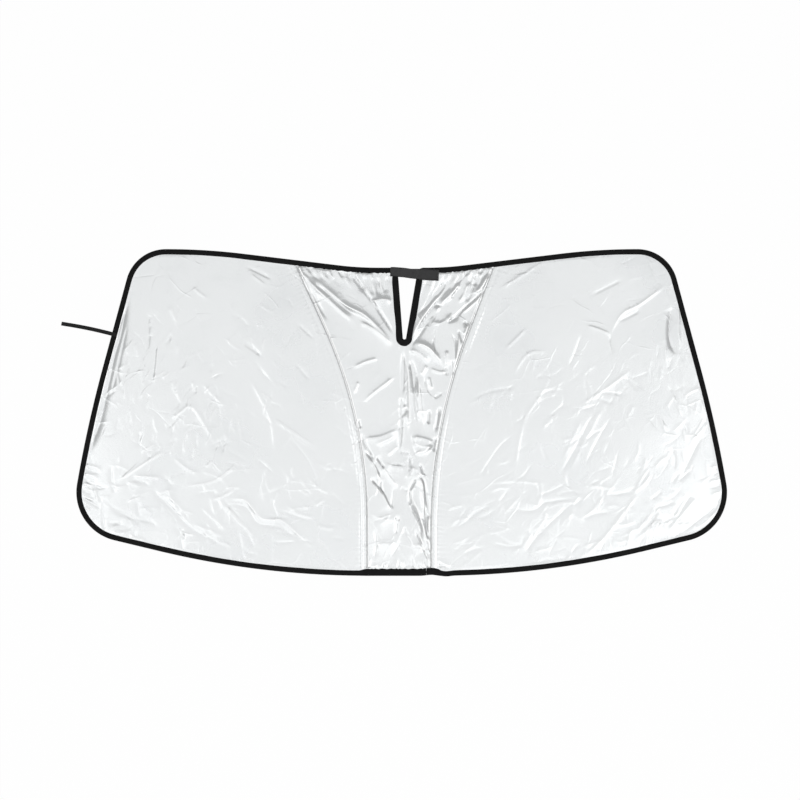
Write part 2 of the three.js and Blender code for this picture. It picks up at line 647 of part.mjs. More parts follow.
// Elastic cords that gather the gusset, inside its binding
const ELASTIC_SHORT = 14; // they end this far from the seams and from the notch's rounded mouth
const elasticLine = offset(fold, TAPE + FIT + ELASTIC / 2);
const elasticSection = roundSection(ELASTIC / 2, WIRE_Z);
function addElastic(name, run) {
  add(name, sweep(run, normalsOf(run), elasticSection), elasticBlack);
}
for (const side of ["left", "right"]) {
  const run = side === "left" ? elasticLine : [...elasticLine].reverse();
  const head = crossing(run, seamLine(side, 0), headOf(side)).onA;
  const mouth = v2(MOUTH_X + (side === "left" ? -1 : 1) * (MOUTH_WIDTH / 2), ROOF_Y);
  const corner = distancesOf(run)[run.reduce(nearestTo(mouth), 0)];
  addElastic(side + "_roof_elastic", between(run, head + ELASTIC_SHORT, corner - ELASTIC_SHORT));
}
const elasticY = EDGE_Y + TAPE + FIT + ELASTIC / 2;
const elasticFrom = v2(-LEFT_FOOT_X + ELASTIC_SHORT, elasticY);
const elasticTo = v2(RIGHT_FOOT_X - ELASTIC_SHORT, elasticY);
addElastic("dash_elastic", straight(elasticFrom, elasticTo, 4));

// A strip whose side view is a shape of distance along and height, laid from a point in a direction, and centred
// on that line. A bow bends it sideways.
function strip(shape, width, from, angle, bow = 0, length = 1) {
  const geometry = new THREE.ExtrudeGeometry(shape, { depth: width, bevelEnabled: false });
  const position = geometry.getAttribute("position");
  for (let i = 0; i < position.count; i++) {
    const [s, z, across] = [position.getX(i), position.getY(i), position.getZ(i) - width / 2];
    const side = across - bow * Math.sin((Math.PI * s) / length);
    const x = from.x + s * Math.cos(angle) + side * Math.sin(angle);
    const y = from.y + s * Math.sin(angle) - side * Math.cos(angle);
    position.setXYZ(i, x, y, z);
  }
  geometry.computeVertexNormals();
  return geometry;
}

const outlineOf = (corners) => new THREE.Shape(corners.map(([s, z]) => v2(s, z)));
const block = (from, to, low, high) =>
  outlineOf([
    [from, low],
    [to, low],
    [to, high],
    [from, high],
  ]);

// Strap over the notch's mouth: sewn down on the left, and closed by hook and loop on the right
const strapAngle = Math.atan(STRAP_SLOPE);
const strapFrom = v2(STRAP_LEFT_X, ROOF_Y - BINDING_WIDTH / 2 - 2.5);
const sewnZ = BINDING_TOP + FIT;
const hookZ = sewnZ + PATCH_THICKNESS + FIT;
const closedZ = hookZ + PATCH_THICKNESS + FIT;
const stepEnd = STRAP_LENGTH - PATCH_LENGTH - FIT;
const stepStart = stepEnd - STRAP_BEND;
const strapTop = [
  [STRAP_LENGTH, closedZ + STRAP_THICKNESS],
  [stepEnd, closedZ + STRAP_THICKNESS],
  [stepStart, sewnZ + STRAP_THICKNESS],
  [0, sewnZ + STRAP_THICKNESS],
];
const strapUnder = [
  [0, sewnZ],
  [stepStart, sewnZ],
  [stepEnd, closedZ],
  [STRAP_LENGTH, closedZ],
];
const patchFrom = STRAP_LENGTH - PATCH_LENGTH;
const loopPatch = block(patchFrom, STRAP_LENGTH, sewnZ, sewnZ + PATCH_THICKNESS);
const hookPatch = block(patchFrom, STRAP_LENGTH, hookZ, hookZ + PATCH_THICKNESS);
const strapShape = outlineOf([...strapUnder, ...strapTop]);
add("mirror_strap", strip(strapShape, STRAP_WIDTH, strapFrom, strapAngle), hookTape);
add("strap_loop_patch", strip(loopPatch, STRAP_WIDTH, strapFrom, strapAngle), hookTape);
add("strap_hook_patch", strip(hookPatch, STRAP_WIDTH, strapFrom, strapAngle), hookTape);

// Storage loop: elastic webbing doubled back on itself, sewn on top of the binding and lying on the floor
const loopAngle = Math.PI - THREE.MathUtils.degToRad(LOOP_RISE_DEG);
const LOOP_SLOT = FIT; // between its two plies
const loopZ = (s) => sewnZ * (1 - smooth((s - LOOP_ROOT) / LOOP_DROP));
const loopStations = [0, LOOP_ROOT, 0.25, 0.5, 0.75, 1].map((t) => (t > 0 && t <= 1 ? LOOP_ROOT + t * LOOP_DROP : t));
const loopEnd = LOOP_LENGTH - LOOP_PLY;
const loopRun = [...new Set([...loopStations, ...[0.4, 0.6, 0.8].map((t) => t * LOOP_LENGTH)])].sort((a, b) => a - b);
const plyLine = (up, end) => [...loopRun, end].map((s) => [s, loopZ(s) + up]);
const loopShape = outlineOf([
  ...plyLine(0, LOOP_LENGTH),
  ...plyLine(2 * LOOP_PLY + LOOP_SLOT, LOOP_LENGTH).reverse(),
  ...plyLine(LOOP_PLY + LOOP_SLOT, loopEnd),
  ...plyLine(LOOP_PLY, loopEnd).reverse(),
]);
const leftFold = fold.map(({ point }) => point).filter((p) => p.x < -SAG_OUTER);
const loopLevel = [v2(-DASH_CORNER_X, LOOP_Y), v2(-SAG_OUTER, LOOP_Y)];
const loopCross = pointAt(leftFold, crossing(leftFold, loopLevel, loopLevel[0]).onA);
const loopWay = v2(Math.cos(loopAngle), Math.sin(loopAngle));
const loopFrom = loopCross.clone().addScaledVector(loopWay, -(BINDING_WIDTH - 1));
add("storage_loop", strip(loopShape, LOOP_WIDTH, loopFrom, loopAngle, LOOP_BOW, LOOP_LENGTH), elasticBlack);

export default shade;
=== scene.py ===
"""The windscreen shade's visible surfaces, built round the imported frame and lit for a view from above.

Sizes are in millimetres unless a name says otherwise, in the part's own frame: X to the right, Y from the
dashboard edge to the roof edge, and Z up, out of the silver side.
"""

import logging
import math
from dataclasses import dataclass, field, replace
from enum import Enum

import bpy
import numpy as np
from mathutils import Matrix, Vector

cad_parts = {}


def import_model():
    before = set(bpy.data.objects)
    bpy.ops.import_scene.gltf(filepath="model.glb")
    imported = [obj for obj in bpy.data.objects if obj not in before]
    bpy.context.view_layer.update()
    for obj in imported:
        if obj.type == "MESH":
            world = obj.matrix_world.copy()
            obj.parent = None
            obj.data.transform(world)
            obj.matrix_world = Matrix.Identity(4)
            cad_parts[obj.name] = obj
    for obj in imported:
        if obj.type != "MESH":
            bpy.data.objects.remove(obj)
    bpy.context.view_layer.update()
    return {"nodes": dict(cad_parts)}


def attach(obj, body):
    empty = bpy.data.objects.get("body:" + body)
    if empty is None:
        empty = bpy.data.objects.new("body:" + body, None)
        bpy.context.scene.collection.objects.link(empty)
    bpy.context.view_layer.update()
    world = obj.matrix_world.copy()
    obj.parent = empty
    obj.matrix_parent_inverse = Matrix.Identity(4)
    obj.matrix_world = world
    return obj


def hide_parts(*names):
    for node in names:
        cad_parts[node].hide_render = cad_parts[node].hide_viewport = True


log = logging.getLogger("sunshade")

MM = 0.001
# The mesh attribute of the cloth's bend, from which the silver material paints highlight on crests and shade
# in furrows
RELIEF = "relief"

Array = np.ndarray
Pair = tuple[float, float]
Triple = tuple[float, float, float]
Colour = tuple[float, float, float]
Piece = bpy.types.Object
Pieces = dict[str, Piece]
Material = bpy.types.Material
Tree = bpy.types.NodeTree
Node = bpy.types.Node
Socket = bpy.types.NodeSocket


# Lines in plan


@dataclass(frozen=True)
class Corner:
    """A corner of a line in plan, rounded by a radius or by its reach along its two sides."""

    x: float
    y: float
    radius: float = 0.0
    reach: float = 0.0


@dataclass(frozen=True)
class Run:
    """A line in plan, with the unit normal to the right of the way at each of its points."""

    points: Array
    normals: Array

    def offset(self, inset: float) -> Array:
        """The line's points, moved by inset along their normals."""
        return self.points + inset * self.normals


def right_of(way: Array) -> Array:
    """The directions to the right of the given ones."""
    return np.stack([way[..., 1], -way[..., 0]], axis=-1)


def rounded(corners: list[Corner], closed: bool, step: float, turn_step_deg: float = 5.0) -> Run:
    """Makes a run through corners, with the corners rounded by arcs.

    Args:
        corners: the corners in order.
        closed: whether the line returns to its first corner.
        step: the longest step between points.
        turn_step_deg: the largest turn between points on an arc.

    Returns:
        The run, with points close enough together for both steps.
    """
    places = [np.array([c.x, c.y]) for c in corners]
    count = len(corners)
    pieces: list[tuple[Array, Array]] = []
    last: Array | None = None
    first: Array | None = None
    for i, corner in enumerate(corners):
        here = places[i]
        inner = closed or 0 < i < count - 1
        way = here - places[i - 1] if inner else np.zeros(2)
        onward = places[(i + 1) % count] - here if inner else np.zeros(2)
        arc_from, arc_to, arc = here, here, None
        if inner and (corner.radius or corner.reach):
            way = way / np.linalg.norm(way)
            onward = onward / np.linalg.norm(onward)
            turn = math.atan2(way[0] * onward[1] - way[1] * onward[0], float(way @ onward))
            reach = corner.reach or corner.radius * math.tan(abs(turn) / 2)
            radius = reach / math.tan(abs(turn) / 2)
            arc_from = here - reach * way
            arc_to = here + reach * onward
            side = -math.copysign(1.0, turn) * right_of(way)
            centre = arc_from + radius * side
            by_turn = math.ceil(math.degrees(abs(turn)) / turn_step_deg)
            steps = max(2, by_turn, math.ceil(abs(turn) * radius / step))
            angles = math.atan2(-side[1], -side[0]) + turn * np.linspace(0, 1, steps + 1)
            spokes = np.stack([np.cos(angles), np.sin(angles)], axis=-1)
            arc = (centre + radius * spokes, math.copysign(1.0, turn) * spokes)
        if last is not None:
            pieces.append(stretch(last, arc_from, step))
        if first is None:
            first = arc_from
        if arc is not None:
            pieces.append(arc)
        last = arc_to
    if closed:
        pieces.append(stretch(last, first, step))
    points = np.concatenate([p for p, _ in pieces])
    normals = np.concatenate([n for _, n in pieces])
    keep = np.ones(len(points), bool)
    keep[1:] = np.linalg.norm(np.diff(points, axis=0), axis=1) > 1e-6
    return Run(points[keep], normals[keep])


def stretch(start: Array, end: Array, step: float) -> tuple[Array, Array]:
    """Points and normals of a straight stretch, no further apart than step."""
    length = float(np.linalg.norm(end - start))
    shares = np.linspace(0, 1, max(1, math.ceil(length / step)) + 1)[:, None]
    way = (end - start) / max(length, 1e-9)
    points = start + shares * (end - start)
    return points, np.tile(right_of(way), (len(points), 1))


def distances(points: Array) -> Array:
    """The distance along a line to each of its points."""
    return np.concatenate([[0.0], np.cumsum(np.linalg.norm(np.diff(points, axis=0), axis=1))])


def at(points: Array, where: Array | float) -> Array:
    """The points at given distances along a line."""
    sums = distances(points)
    return np.stack([np.interp(where, sums, points[:, k]) for k in range(points.shape[1])], axis=-1)


def between(points: Array, start: float, end: float) -> Array:
    """The part of a line between two distances along it."""
    sums = distances(points)
    inside = points[(sums > start + 1e-3) & (sums < end - 1e-3)]
    return np.concatenate([at(points, start)[None], inside, at(points, end)[None]])


def spread(points: Array, steps: int) -> Array:
    """A line's points at equal steps."""
    return at(points, np.linspace(0, distances(points)[-1], steps + 1))


def crossing(a: Array, b: Array, near: Pair) -> float:
    """The distance along line a to where it crosses line b, at the place nearest to a point."""
    u = np.diff(a, axis=0)[:, None]
    w = np.diff(b, axis=0)[None]
    gap = b[None, :-1] - a[:-1, None]
    det = u[..., 0] * w[..., 1] - u[..., 1] * w[..., 0]
    with np.errstate(divide="ignore", invalid="ignore"):
        t = (gap[..., 0] * w[..., 1] - gap[..., 1] * w[..., 0]) / det
        k = (gap[..., 0] * u[..., 1] - gap[..., 1] * u[..., 0]) / det
    hit = np.argwhere((t >= 0) & (t <= 1) & (k >= 0) & (k <= 1))
    sums = distances(a)
    found = [(sums[i] + t[i, j] * (sums[i + 1] - sums[i])) for i, j in hit]
    return min(found, key=lambda s: float(np.linalg.norm(at(a, s) - np.array(near))))


def project(points: Array, line: Array) -> tuple[Array, Array]:
    """Measures points against a line in plan.

    Args:
        points: the points, one to a row.
        line: the line's points.

    Returns:
        The signed distance from the line, positive to its left, and the share of the line's length at the
        nearest place.
    """
    start, way = line[:-1], np.diff(line, axis=0)
    lengths = np.linalg.norm(way, axis=1)
    sums = distances(line)
    best = np.full(len(points), np.inf)
    share = np.zeros(len(points))
    for a, w, length, before in zip(start, way, lengths, sums[:-1]):
        gap = points - a
        t = np.clip(gap @ w / length**2, 0, 1)
        away = gap - t[:, None] * w
        distance = np.hypot(away[:, 0], away[:, 1])
        nearer = distance < np.abs(best)
        side = np.where(w[0] * gap[:, 1] - w[1] * gap[:, 0] < 0, -1.0, 1.0)
        best = np.where(nearer, side * distance, best)
        share = np.where(nearer, (before + t * length) / sums[-1], share)
    return best, share


def nearest(points: Array, place: Pair | Array) -> int:
    """The number of the point nearest to a place."""
    return int(np.argmin(np.linalg.norm(points - np.array(place), axis=1)))


def smooth(t: Array | float) -> Array:
    """A soft step from 0 at 0 to 1 at 1."""
    t = np.clip(t, 0, 1)
    return t * t * (3 - 2 * t)


def hump(t: Array) -> Array:
    """A soft hump, 1 at 0 and next to nothing beyond 2."""
    return np.exp(-(t**2))


def wavy(along: Array, pitch: float, *strays: Pair) -> Array:
    """A sine wave whose phase strays, by sines that each have a size and a length."""
    phase = math.tau * along / pitch
    for size, length in strays:
        phase = phase + size * np.sin(along / length)
    return np.sin(phase)


# The shade's own lines


@dataclass(frozen=True)
class Outline:
    """The line of the binding's fold, clockwise from the place where the tape's ends meet."""

    edge_y: float = -5.5
    height: float = 729.0
    roof_sag: float = 41.5
    sag_inner: float = 97.0
    sag_inner_reach: float = 44.0
    sag_outer: float = 440.0
    sag_outer_reach: float = 85.0
    roof_corner_x: float = 596.0
    roof_radius: float = 90.0
    side_knee: Pair = (701.5, 339.0)
    side_knee_reach: float = 130.0
    dash_corner: Pair = (742.8, 103.5)
    dash_radius: float = 110.0
    dash_knee_x: float = 313.0
    dash_knee_reach: float = 235.0
    mouth_x: float = 13.6
    mouth_width: float = 47.0
    mouth_radius: float = 14.0
    notch_point: Pair = (4.4, 191.5)
    notch_radius: float = 4.3
    tape_join_x: float = 55.0

    @property
    def corner_y(self) -> float:
        """The level of the roof corners."""
        return self.edge_y + self.height

    @property
    def roof_y(self) -> float:
        """The level of the roof edge at its middle."""
        return self.corner_y - self.roof_sag

    @property
    def notch_tip(self) -> Pair:
        """The point that the notch's two edges run to."""
        return self.notch_point[0], self.roof_y - self.notch_point[1]

    def mouth(self, side: int) -> Pair:
        """Where the notch's left (-1) or right (1) edge would meet the roof edge."""
        return self.mouth_x + side * self.mouth_width / 2, self.roof_y

    def fold(self, step: float) -> Run:
        """The whole line, with points no further apart than step."""
        half = [
            Corner(self.dash_knee_x, self.edge_y, reach=self.dash_knee_reach),
            Corner(self.dash_corner[0], self.edge_y + self.dash_corner[1], radius=self.dash_radius),
            Corner(self.side_knee[0], self.edge_y + self.side_knee[1], reach=self.side_knee_reach),
            Corner(self.roof_corner_x, self.corner_y, radius=self.roof_radius),
            Corner(self.sag_outer, self.corner_y, reach=self.sag_outer_reach),
            Corner(self.sag_inner, self.roof_y, reach=self.sag_inner_reach),
        ]
        notch = [
            Corner(*self.mouth(-1), radius=self.mouth_radius),
            Corner(*self.notch_tip, radius=self.notch_radius),
            Corner(*self.mouth(1), radius=self.mouth_radius),
        ]
        mirrored = [Corner(-c.x, c.y, c.radius, c.reach) for c in half]
        join = Corner(self.tape_join_x, self.edge_y)
        return rounded([join, *mirrored, *notch, *reversed(half)], True, step)


@dataclass(frozen=True)
class Seam:
    """A seam between a panel and the gusset, over the hoop's inner stretch. Side is -1 left and 1 right."""

    side: int
    foot_x: float
    knee_y: float
    head_x: float
    head_drop: float = 27.0
    knee_reach: float = 225.0
    overrun: float = 60.0

    def line(self, outline: Outline, towards_gusset: float) -> Array:
        """The seam from below the dashboard edge to above the roof edge, moved towards the gusset."""
        knee = np.array([self.side * self.foot_x, outline.edge_y + self.knee_y])
        head = np.array(self.head(outline))
        end = head + self.overrun * (head - knee) / np.linalg.norm(head - knee)
        corners = [
            Corner(self.side * self.foot_x, outline.edge_y - self.overrun),
            Corner(knee[0], knee[1], reach=self.knee_reach),
            Corner(end[0], end[1]),
        ]
        return rounded(corners, False, 5.0, 1.0).offset(-self.side * towards_gusset)

    def foot(self, outline: Outline) -> Pair:
        """The seam's lower end."""
        return self.side * self.foot_x, outline.edge_y

    def head(self, outline: Outline) -> Pair:
        """The seam's upper end."""
        return self.side * self.head_x, outline.corner_y - self.head_drop

    def inside(self, outline: Outline, towards_gusset: float, edge: Array) -> Array:
        """The stretch of the moved seam that lies inside an edge line, upwards."""
        line = self.line(outline, towards_gusset)
        foot, head = (crossing(line, edge, end) for end in (self.foot(outline), self.head(outline)))
        return between(line, foot, head)


@dataclass(frozen=True)
class Layers:
    """Heights and insets of the sewn layers, as in the frame."""

    cloth: float = 0.3
    cloth_z: float = 3.45
    cloth_low: float = 0.7
    gusset_seam_z: float = 2.85
    casing_z: float = 0.95
    binding_width: float = 11.0
    row_away: float = 4.8
    foot_extra: float = 5.2
    foot_half: float = 105.0
    foot_top: float = 80.0
    foot_ramps: Triple = (15.0, 14.0, 40.0)
    cloth_inset: float = 3.7
    lap: float = 6.0
    hem_clear: float = 7.5
    gusset_start: float = 2.2
    casing_half: float = 8.0


OUTLINE = Outline()
LAYERS = Layers()
LEFT_SEAM = Seam(-1, 87.0, 347.0, 249.0)
RIGHT_SEAM = Seam(1, 75.0, 325.0, 218.0)
SEAMS = (LEFT_SEAM, RIGHT_SEAM)


# Meshes


def mesh_piece(name: str, vertices: Array, faces: list[Array], uv: Array | None = None) -> Piece:
    """Makes a smooth-shaded object.

    Args:
        name: the object's name.
        vertices: positions in millimetres, one to a row.
        faces: sets of faces, each set with one number of corners, a face's vertex numbers to a row.
        uv: for each vertex, its place on the UV map, or None.

    Returns:
        The object, linked to the scene.
    """
    corners = np.concatenate([f.ravel() for f in faces]).astype(np.int32)
    sizes = np.concatenate([np.full(len(f), f.shape[1]) for f in faces])
    starts = np.concatenate([[0], np.cumsum(sizes)[:-1]]).astype(np.int32)
    mesh = bpy.data.meshes.new(name)
    mesh.vertices.add(len(vertices))
    mesh.vertices.foreach_set("co", (vertices * MM).astype(np.float32).ravel())
    mesh.loops.add(len(corners))
    mesh.loops.foreach_set("vertex_index", corners)
    mesh.polygons.add(len(sizes))
    mesh.polygons.foreach_set("loop_start", starts)
    mesh.polygons.foreach_set("use_smooth", np.ones(len(sizes), bool))
    mesh.update(calc_edges=True)
    mesh.validate()
    if uv is not None:
        layer = mesh.uv_layers.new(name="UVMap")
        layer.data.foreach_set("uv", uv[corners].astype(np.float32).ravel())
    piece = bpy.data.objects.new(name, mesh)
    bpy.context.scene.collection.objects.link(piece)
    return piece


@dataclass(frozen=True)
class Net:
    """A net in plan: its points, its fine quads, and the quads of the coarser net on every second point.

    Each coarse edge that is free carries the fine point between its ends.
    """

    points: Array
    quads: Array
    coarse: Array
    rim: Array

    def crests(self, z: Array) -> Array:
        """How sharply heights z bend at each point, per millimetre, above 0 on a crest."""
        total = np.zeros(len(self.points))
        weight = np.zeros(len(self.points))
        for k in range(4):
            a, b = self.quads[:, k], self.quads[:, (k + 1) % 4]
            length = np.maximum(np.linalg.norm(self.points[a] - self.points[b], axis=1), 0.8)
            for one, other in ((a, b), (b, a)):
                total += np.bincount(one, (z[one] - z[other]) / length**2, len(z))
                weight += np.bincount(one, np.ones(len(one)), len(z))
        return total / np.maximum(weight, 1)

    def area(self) -> float:
        """The net's area in plan, in square metres."""
        a, b, c, d = (self.points[self.coarse[:, k]] for k in range(4))
        return abs(float(cross(c - a, d - b).sum())) / 2 * MM * MM


def cross(a: Array, b: Array) -> Array:
    """The cross product of vectors in plan."""
    return a[:, 0] * b[:, 1] - a[:, 1] * b[:, 0]


def quads_of(index: Array) -> Array:
    """The quads of a grid of point numbers."""
    return np.stack([index[:-1, :-1], index[:-1, 1:], index[1:, 1:], index[1:, :-1]], -1).reshape(-1, 4)


def merged(grids: list[Array]) -> Net:
    """Joins plan grids into one net.

    Args:
        grids: each of rows, columns and two coordinates, with even numbers of steps both ways.

    Returns:
        The net, with its quads counterclockwise.
    """
    points = np.concatenate([g.reshape(-1, 2) for g in grids])
    _, first, inverse = np.unique(np.round(points, 3), axis=0, return_index=True, return_inverse=True)
    inverse = inverse.reshape(-1)
    points = points[first]
    fine, coarse, sides, offset = [], [], [], 0
    for g in grids:
        rows, columns = g.shape[:2]
        index = inverse[offset + np.arange(rows * columns)].reshape(rows, columns)
        offset += rows * columns
        a, b, c, d = (points[index[k]][None] for k in ((0, 0), (0, 1), (1, 1), (1, 0)))
        if cross(c - a, d - b)[0] < 0:
            index = index[:, ::-1]
        fine.append(quads_of(index))
        coarse.append(quads_of(index[::2, ::2]))
        for line in (index[0], index[:, -1], index[-1, ::-1], index[::-1, 0]):
            sides.append(np.column_stack([line[:-2:2], line[1:-1:2], line[2::2]]))
    net = np.concatenate(coarse)
    edges = np.concatenate([net[:, [k, (k + 1) % 4]] for k in range(4)])
    keys = edges[:, 0].astype(np.int64) * len(points) + edges[:, 1]
    doubled = keys[np.isin(keys, edges[:, 1].astype(np.int64) * len(points) + edges[:, 0])]
    rim = np.concatenate(sides)
    free = ~np.isin(rim[:, 0].astype(np.int64) * len(points) + rim[:, 2], doubled)
    return Net(points, np.concatenate(fine), net, rim[free])


def closed_sheet(name: str, net: Net, z: Array, thickness: float) -> Piece:
    """Makes cloth of one thickness about a middle surface, as one closed mesh, coarser underneath.

    Args:
        name: the object's name.
        net: the net in plan.
        z: the middle surface's height at each point.
        thickness: the cloth's thickness.

    Returns:
        The object.
    """
    count = len(net.points)
    used = np.unique(net.coarse)
    under_number = np.zeros(count, np.int64)
    under_number[used] = count + np.arange(len(used))
    top = np.column_stack([net.points, z + thickness / 2])
    under = np.column_stack([net.points, z - thickness / 2])[used]
    start, middle, end = net.rim.T
    walls = np.column_stack([end, middle, start, under_number[start], under_number[end]])
    faces = [net.quads, under_number[net.coarse][:, ::-1], walls]
    piece = mesh_piece(name, np.concatenate([top, under]), faces)
    # The bend is kept on the mesh for the silver material's painted highlight on crests and painted shade in
    # furrows
    crest = net.crests(z)
    relief = piece.data.attributes.new(RELIEF, "FLOAT", "POINT")
    relief.data.foreach_set("value", np.concatenate([crest, -crest[used]]).astype(np.float32))
    return piece


def swept(name: str, rings: Array, across: Array, along: Array) -> Piece:
    """Makes a closed solid from rings of points along a way.

    Args:
        name: the object's name.
        rings: of rings, points to a ring and three coordinates.
        across: the distance round the ring at each of its points, for the UV map.
        along: the distance along the way of each ring, for the UV map.

    Returns:
        The object.
    """
    count, size = rings.shape[:2]
    index = np.arange(count * size).reshape(count, size)
    after = np.roll(index, -1, axis=1)
    sides = np.stack([index[:-1], after[:-1], after[1:], index[1:]], -1).reshape(-1, 4)
    half = size // 2
    pairs = np.arange(half - 1)
    cap = np.stack([pairs, pairs + 1, size - 2 - pairs, size - 1 - pairs], -1)
    faces = [sides, cap[:, ::-1], cap + (count - 1) * size]
    uv = np.stack(np.broadcast_arrays(along[:, None] * MM, across[None] * MM), -1).reshape(-1, 2)
    piece = mesh_piece(name, rings.reshape(-1, 3), faces, uv)
    if volume(piece) < 0:
        piece.data.flip_normals()
    return piece


def volume(piece: Piece) -> float:
    """The signed volume of a mesh, positive where its faces point out."""
    piece.data.calc_loop_triangles()
    count = len(piece.data.loop_triangles)
    triangles = np.empty(count * 3, np.int32)
    piece.data.loop_triangles.foreach_get("vertices", triangles)
    places = np.empty(len(piece.data.vertices) * 3)
    piece.data.vertices.foreach_get("co", places)
    a, b, c = places.reshape(-1, 3)[triangles.reshape(-1, 3)].transpose(1, 0, 2)
    return float(np.einsum("ij,ij->i", a, np.cross(b, c)).sum())


def patch(bottom: Array, top: Array, left: Array, right: Array) -> Array:
    """A plan grid between four edges: rows from bottom to top, each from left to right."""
    v = np.linspace(0, 1, len(left))[:, None, None]
    u = np.linspace(0, 1, len(bottom))[None, :, None]
    across = left[:, None] * (1 - u) + right[:, None] * u
    up = bottom[None] * (1 - v) + top[None] * v
    low = bottom[0] * (1 - u) + bottom[-1] * u
    high = top[0] * (1 - u) + top[-1] * u
    return across + up - (low * (1 - v) + high * v)


# Relief of the cloth


@dataclass(frozen=True)
class Crease:
    """A fold in cloth along a line in plan: a crest, or a furrow where its height is negative.

    Its lean makes it wider on one side, and it fades over a share of its length towards its ends.
    """

    way: tuple[Pair, ...]
    height: float
    width: float
    lean: float
    fade: float = 0.26
    fade_start: bool = True
    crest_radius: float = 1.7

    def lift(self, points: Array, z: Array) -> None:
        """Adds the crease to the heights z at the points."""
        line = spread(np.array(self.way, float), 4) if len(self.way) == 2 else bent(np.array(self.way, float))
        reach = 6 * self.width
        low, high = line.min(axis=0) - reach, line.max(axis=0) + reach
        near = np.flatnonzero(((points > low) & (points < high)).all(axis=1))
        if not len(near):
            return
        distance, share = project(points[near], line)
        width = self.width * np.where(distance > 0, 1 + self.lean, 1 - self.lean)
        rounded_distance = np.sqrt(distance**2 + self.crest_radius**2) - self.crest_radius
        start = smooth(share / self.fade) if self.fade_start else np.where(share > 0, 1.0, 0.0)
        taper = start * smooth((1 - share) / self.fade)
        z[near] += self.height * np.exp(-rounded_distance / width) * taper


def bent(points: Array) -> Array:
    """A smooth line through a few points."""
    fine = np.linspace(0, len(points) - 1, 6 * (len(points) - 1) + 1)
    before = np.vstack([2 * points[0] - points[1], points[:-1]])
    after = np.vstack([points[1:], 2 * points[-1] - points[-2]])
    slope = (after - before) / 2
    i = np.minimum(fine.astype(int), len(points) - 2)
    s = (fine - i)[:, None]
    shares = (2 * s**3 - 3 * s**2 + 1, s**3 - 2 * s**2 + s, 3 * s**2 - 2 * s**3, s**3 - s**2)
    parts = (points[i], slope[i], points[i + 1], slope[i + 1])
    return sum(share * part for share, part in zip(shares, parts))


@dataclass(frozen=True)
class Crumple:
    """Many small creases scattered over a patch of cloth, with shares of its sizes drawn at random."""

    low: Pair
    high: Pair
    count: int
    height: float
    width: float
    length: float
    seed: int
    angle_deg: float
    angle_spread_deg: float
    lengths: Pair = (0.35, 1.0)
    heights: Pair = (0.3, 1.0)
    widths: Pair = (0.6, 1.3)
    bow: float = 0.25
    lean: float = 0.5

    def creases(self) -> list[Crease]:
        """The creases, the same on each run."""
        rng = np.random.default_rng(self.seed)
        made = []
        for _ in range(self.count):
            centre = rng.uniform(self.low, self.high)
            angle = math.radians(self.angle_deg + self.angle_spread_deg * (rng.random() - 0.5))
            half = self.length * rng.uniform(*self.lengths) / 2
            bow = half * rng.uniform(-self.bow, self.bow)
            way = np.array([math.cos(angle), math.sin(angle)])
            middle = centre + bow * right_of(way)
            ends = (tuple(centre - half * way), tuple(middle), tuple(centre + half * way))
            height = self.height * rng.uniform(*self.heights) * rng.choice([-1.0, 1.0])
            width = self.width * rng.uniform(*self.widths)
            made.append(Crease(ends, height, width, rng.uniform(-self.lean, self.lean)))
        return made


def creased(points: Array, z: Array, creases: tuple[Crease, ...], crumples: tuple[Crumple, ...]) -> None:
    """Adds creases and scattered creases to the heights z at the points."""
    for crease in creases + tuple(c for crumple in crumples for c in crumple.creases()):
        crease.lift(points, z)


def swell(points: Array, seed: int, length: float, count: int = 9) -> Array:
    """Broad soft unevenness of about one wavelength, from -1 to 1 or so."""
    rng = np.random.default_rng(seed)
    total = np.zeros(len(points))
    for _ in range(count):
        angle = rng.uniform(0, math.tau)
        k = math.tau / (length * rng.uniform(0.7, 1.6))
        total += np.sin(k * (points @ [math.cos(angle), math.sin(angle)]) + rng.uniform(0, math.tau))
    return total / math.sqrt(count)


# Cloth


class Side(Enum):
    """The side of the shade, as seen from its silver side."""

    LEFT = "left"
    RIGHT = "right"


def lips_away(points: Array) -> Array:
    """How far points lie inside the visible edge of the binding, which is fuller by the gusset's foot."""
    fold = OUTLINE.fold(12.0).points
    distance, _ = project(points, np.vstack([fold, fold[:1]]))
    x, y = points.T
    left, right, upper = LAYERS.foot_ramps
    beside = smooth((x + LAYERS.foot_half) / left) * smooth((LAYERS.foot_half - x) / right)
    foot = beside * smooth((LAYERS.foot_top - y) / upper)
    return np.abs(distance) - LAYERS.binding_width - LAYERS.foot_extra * foot


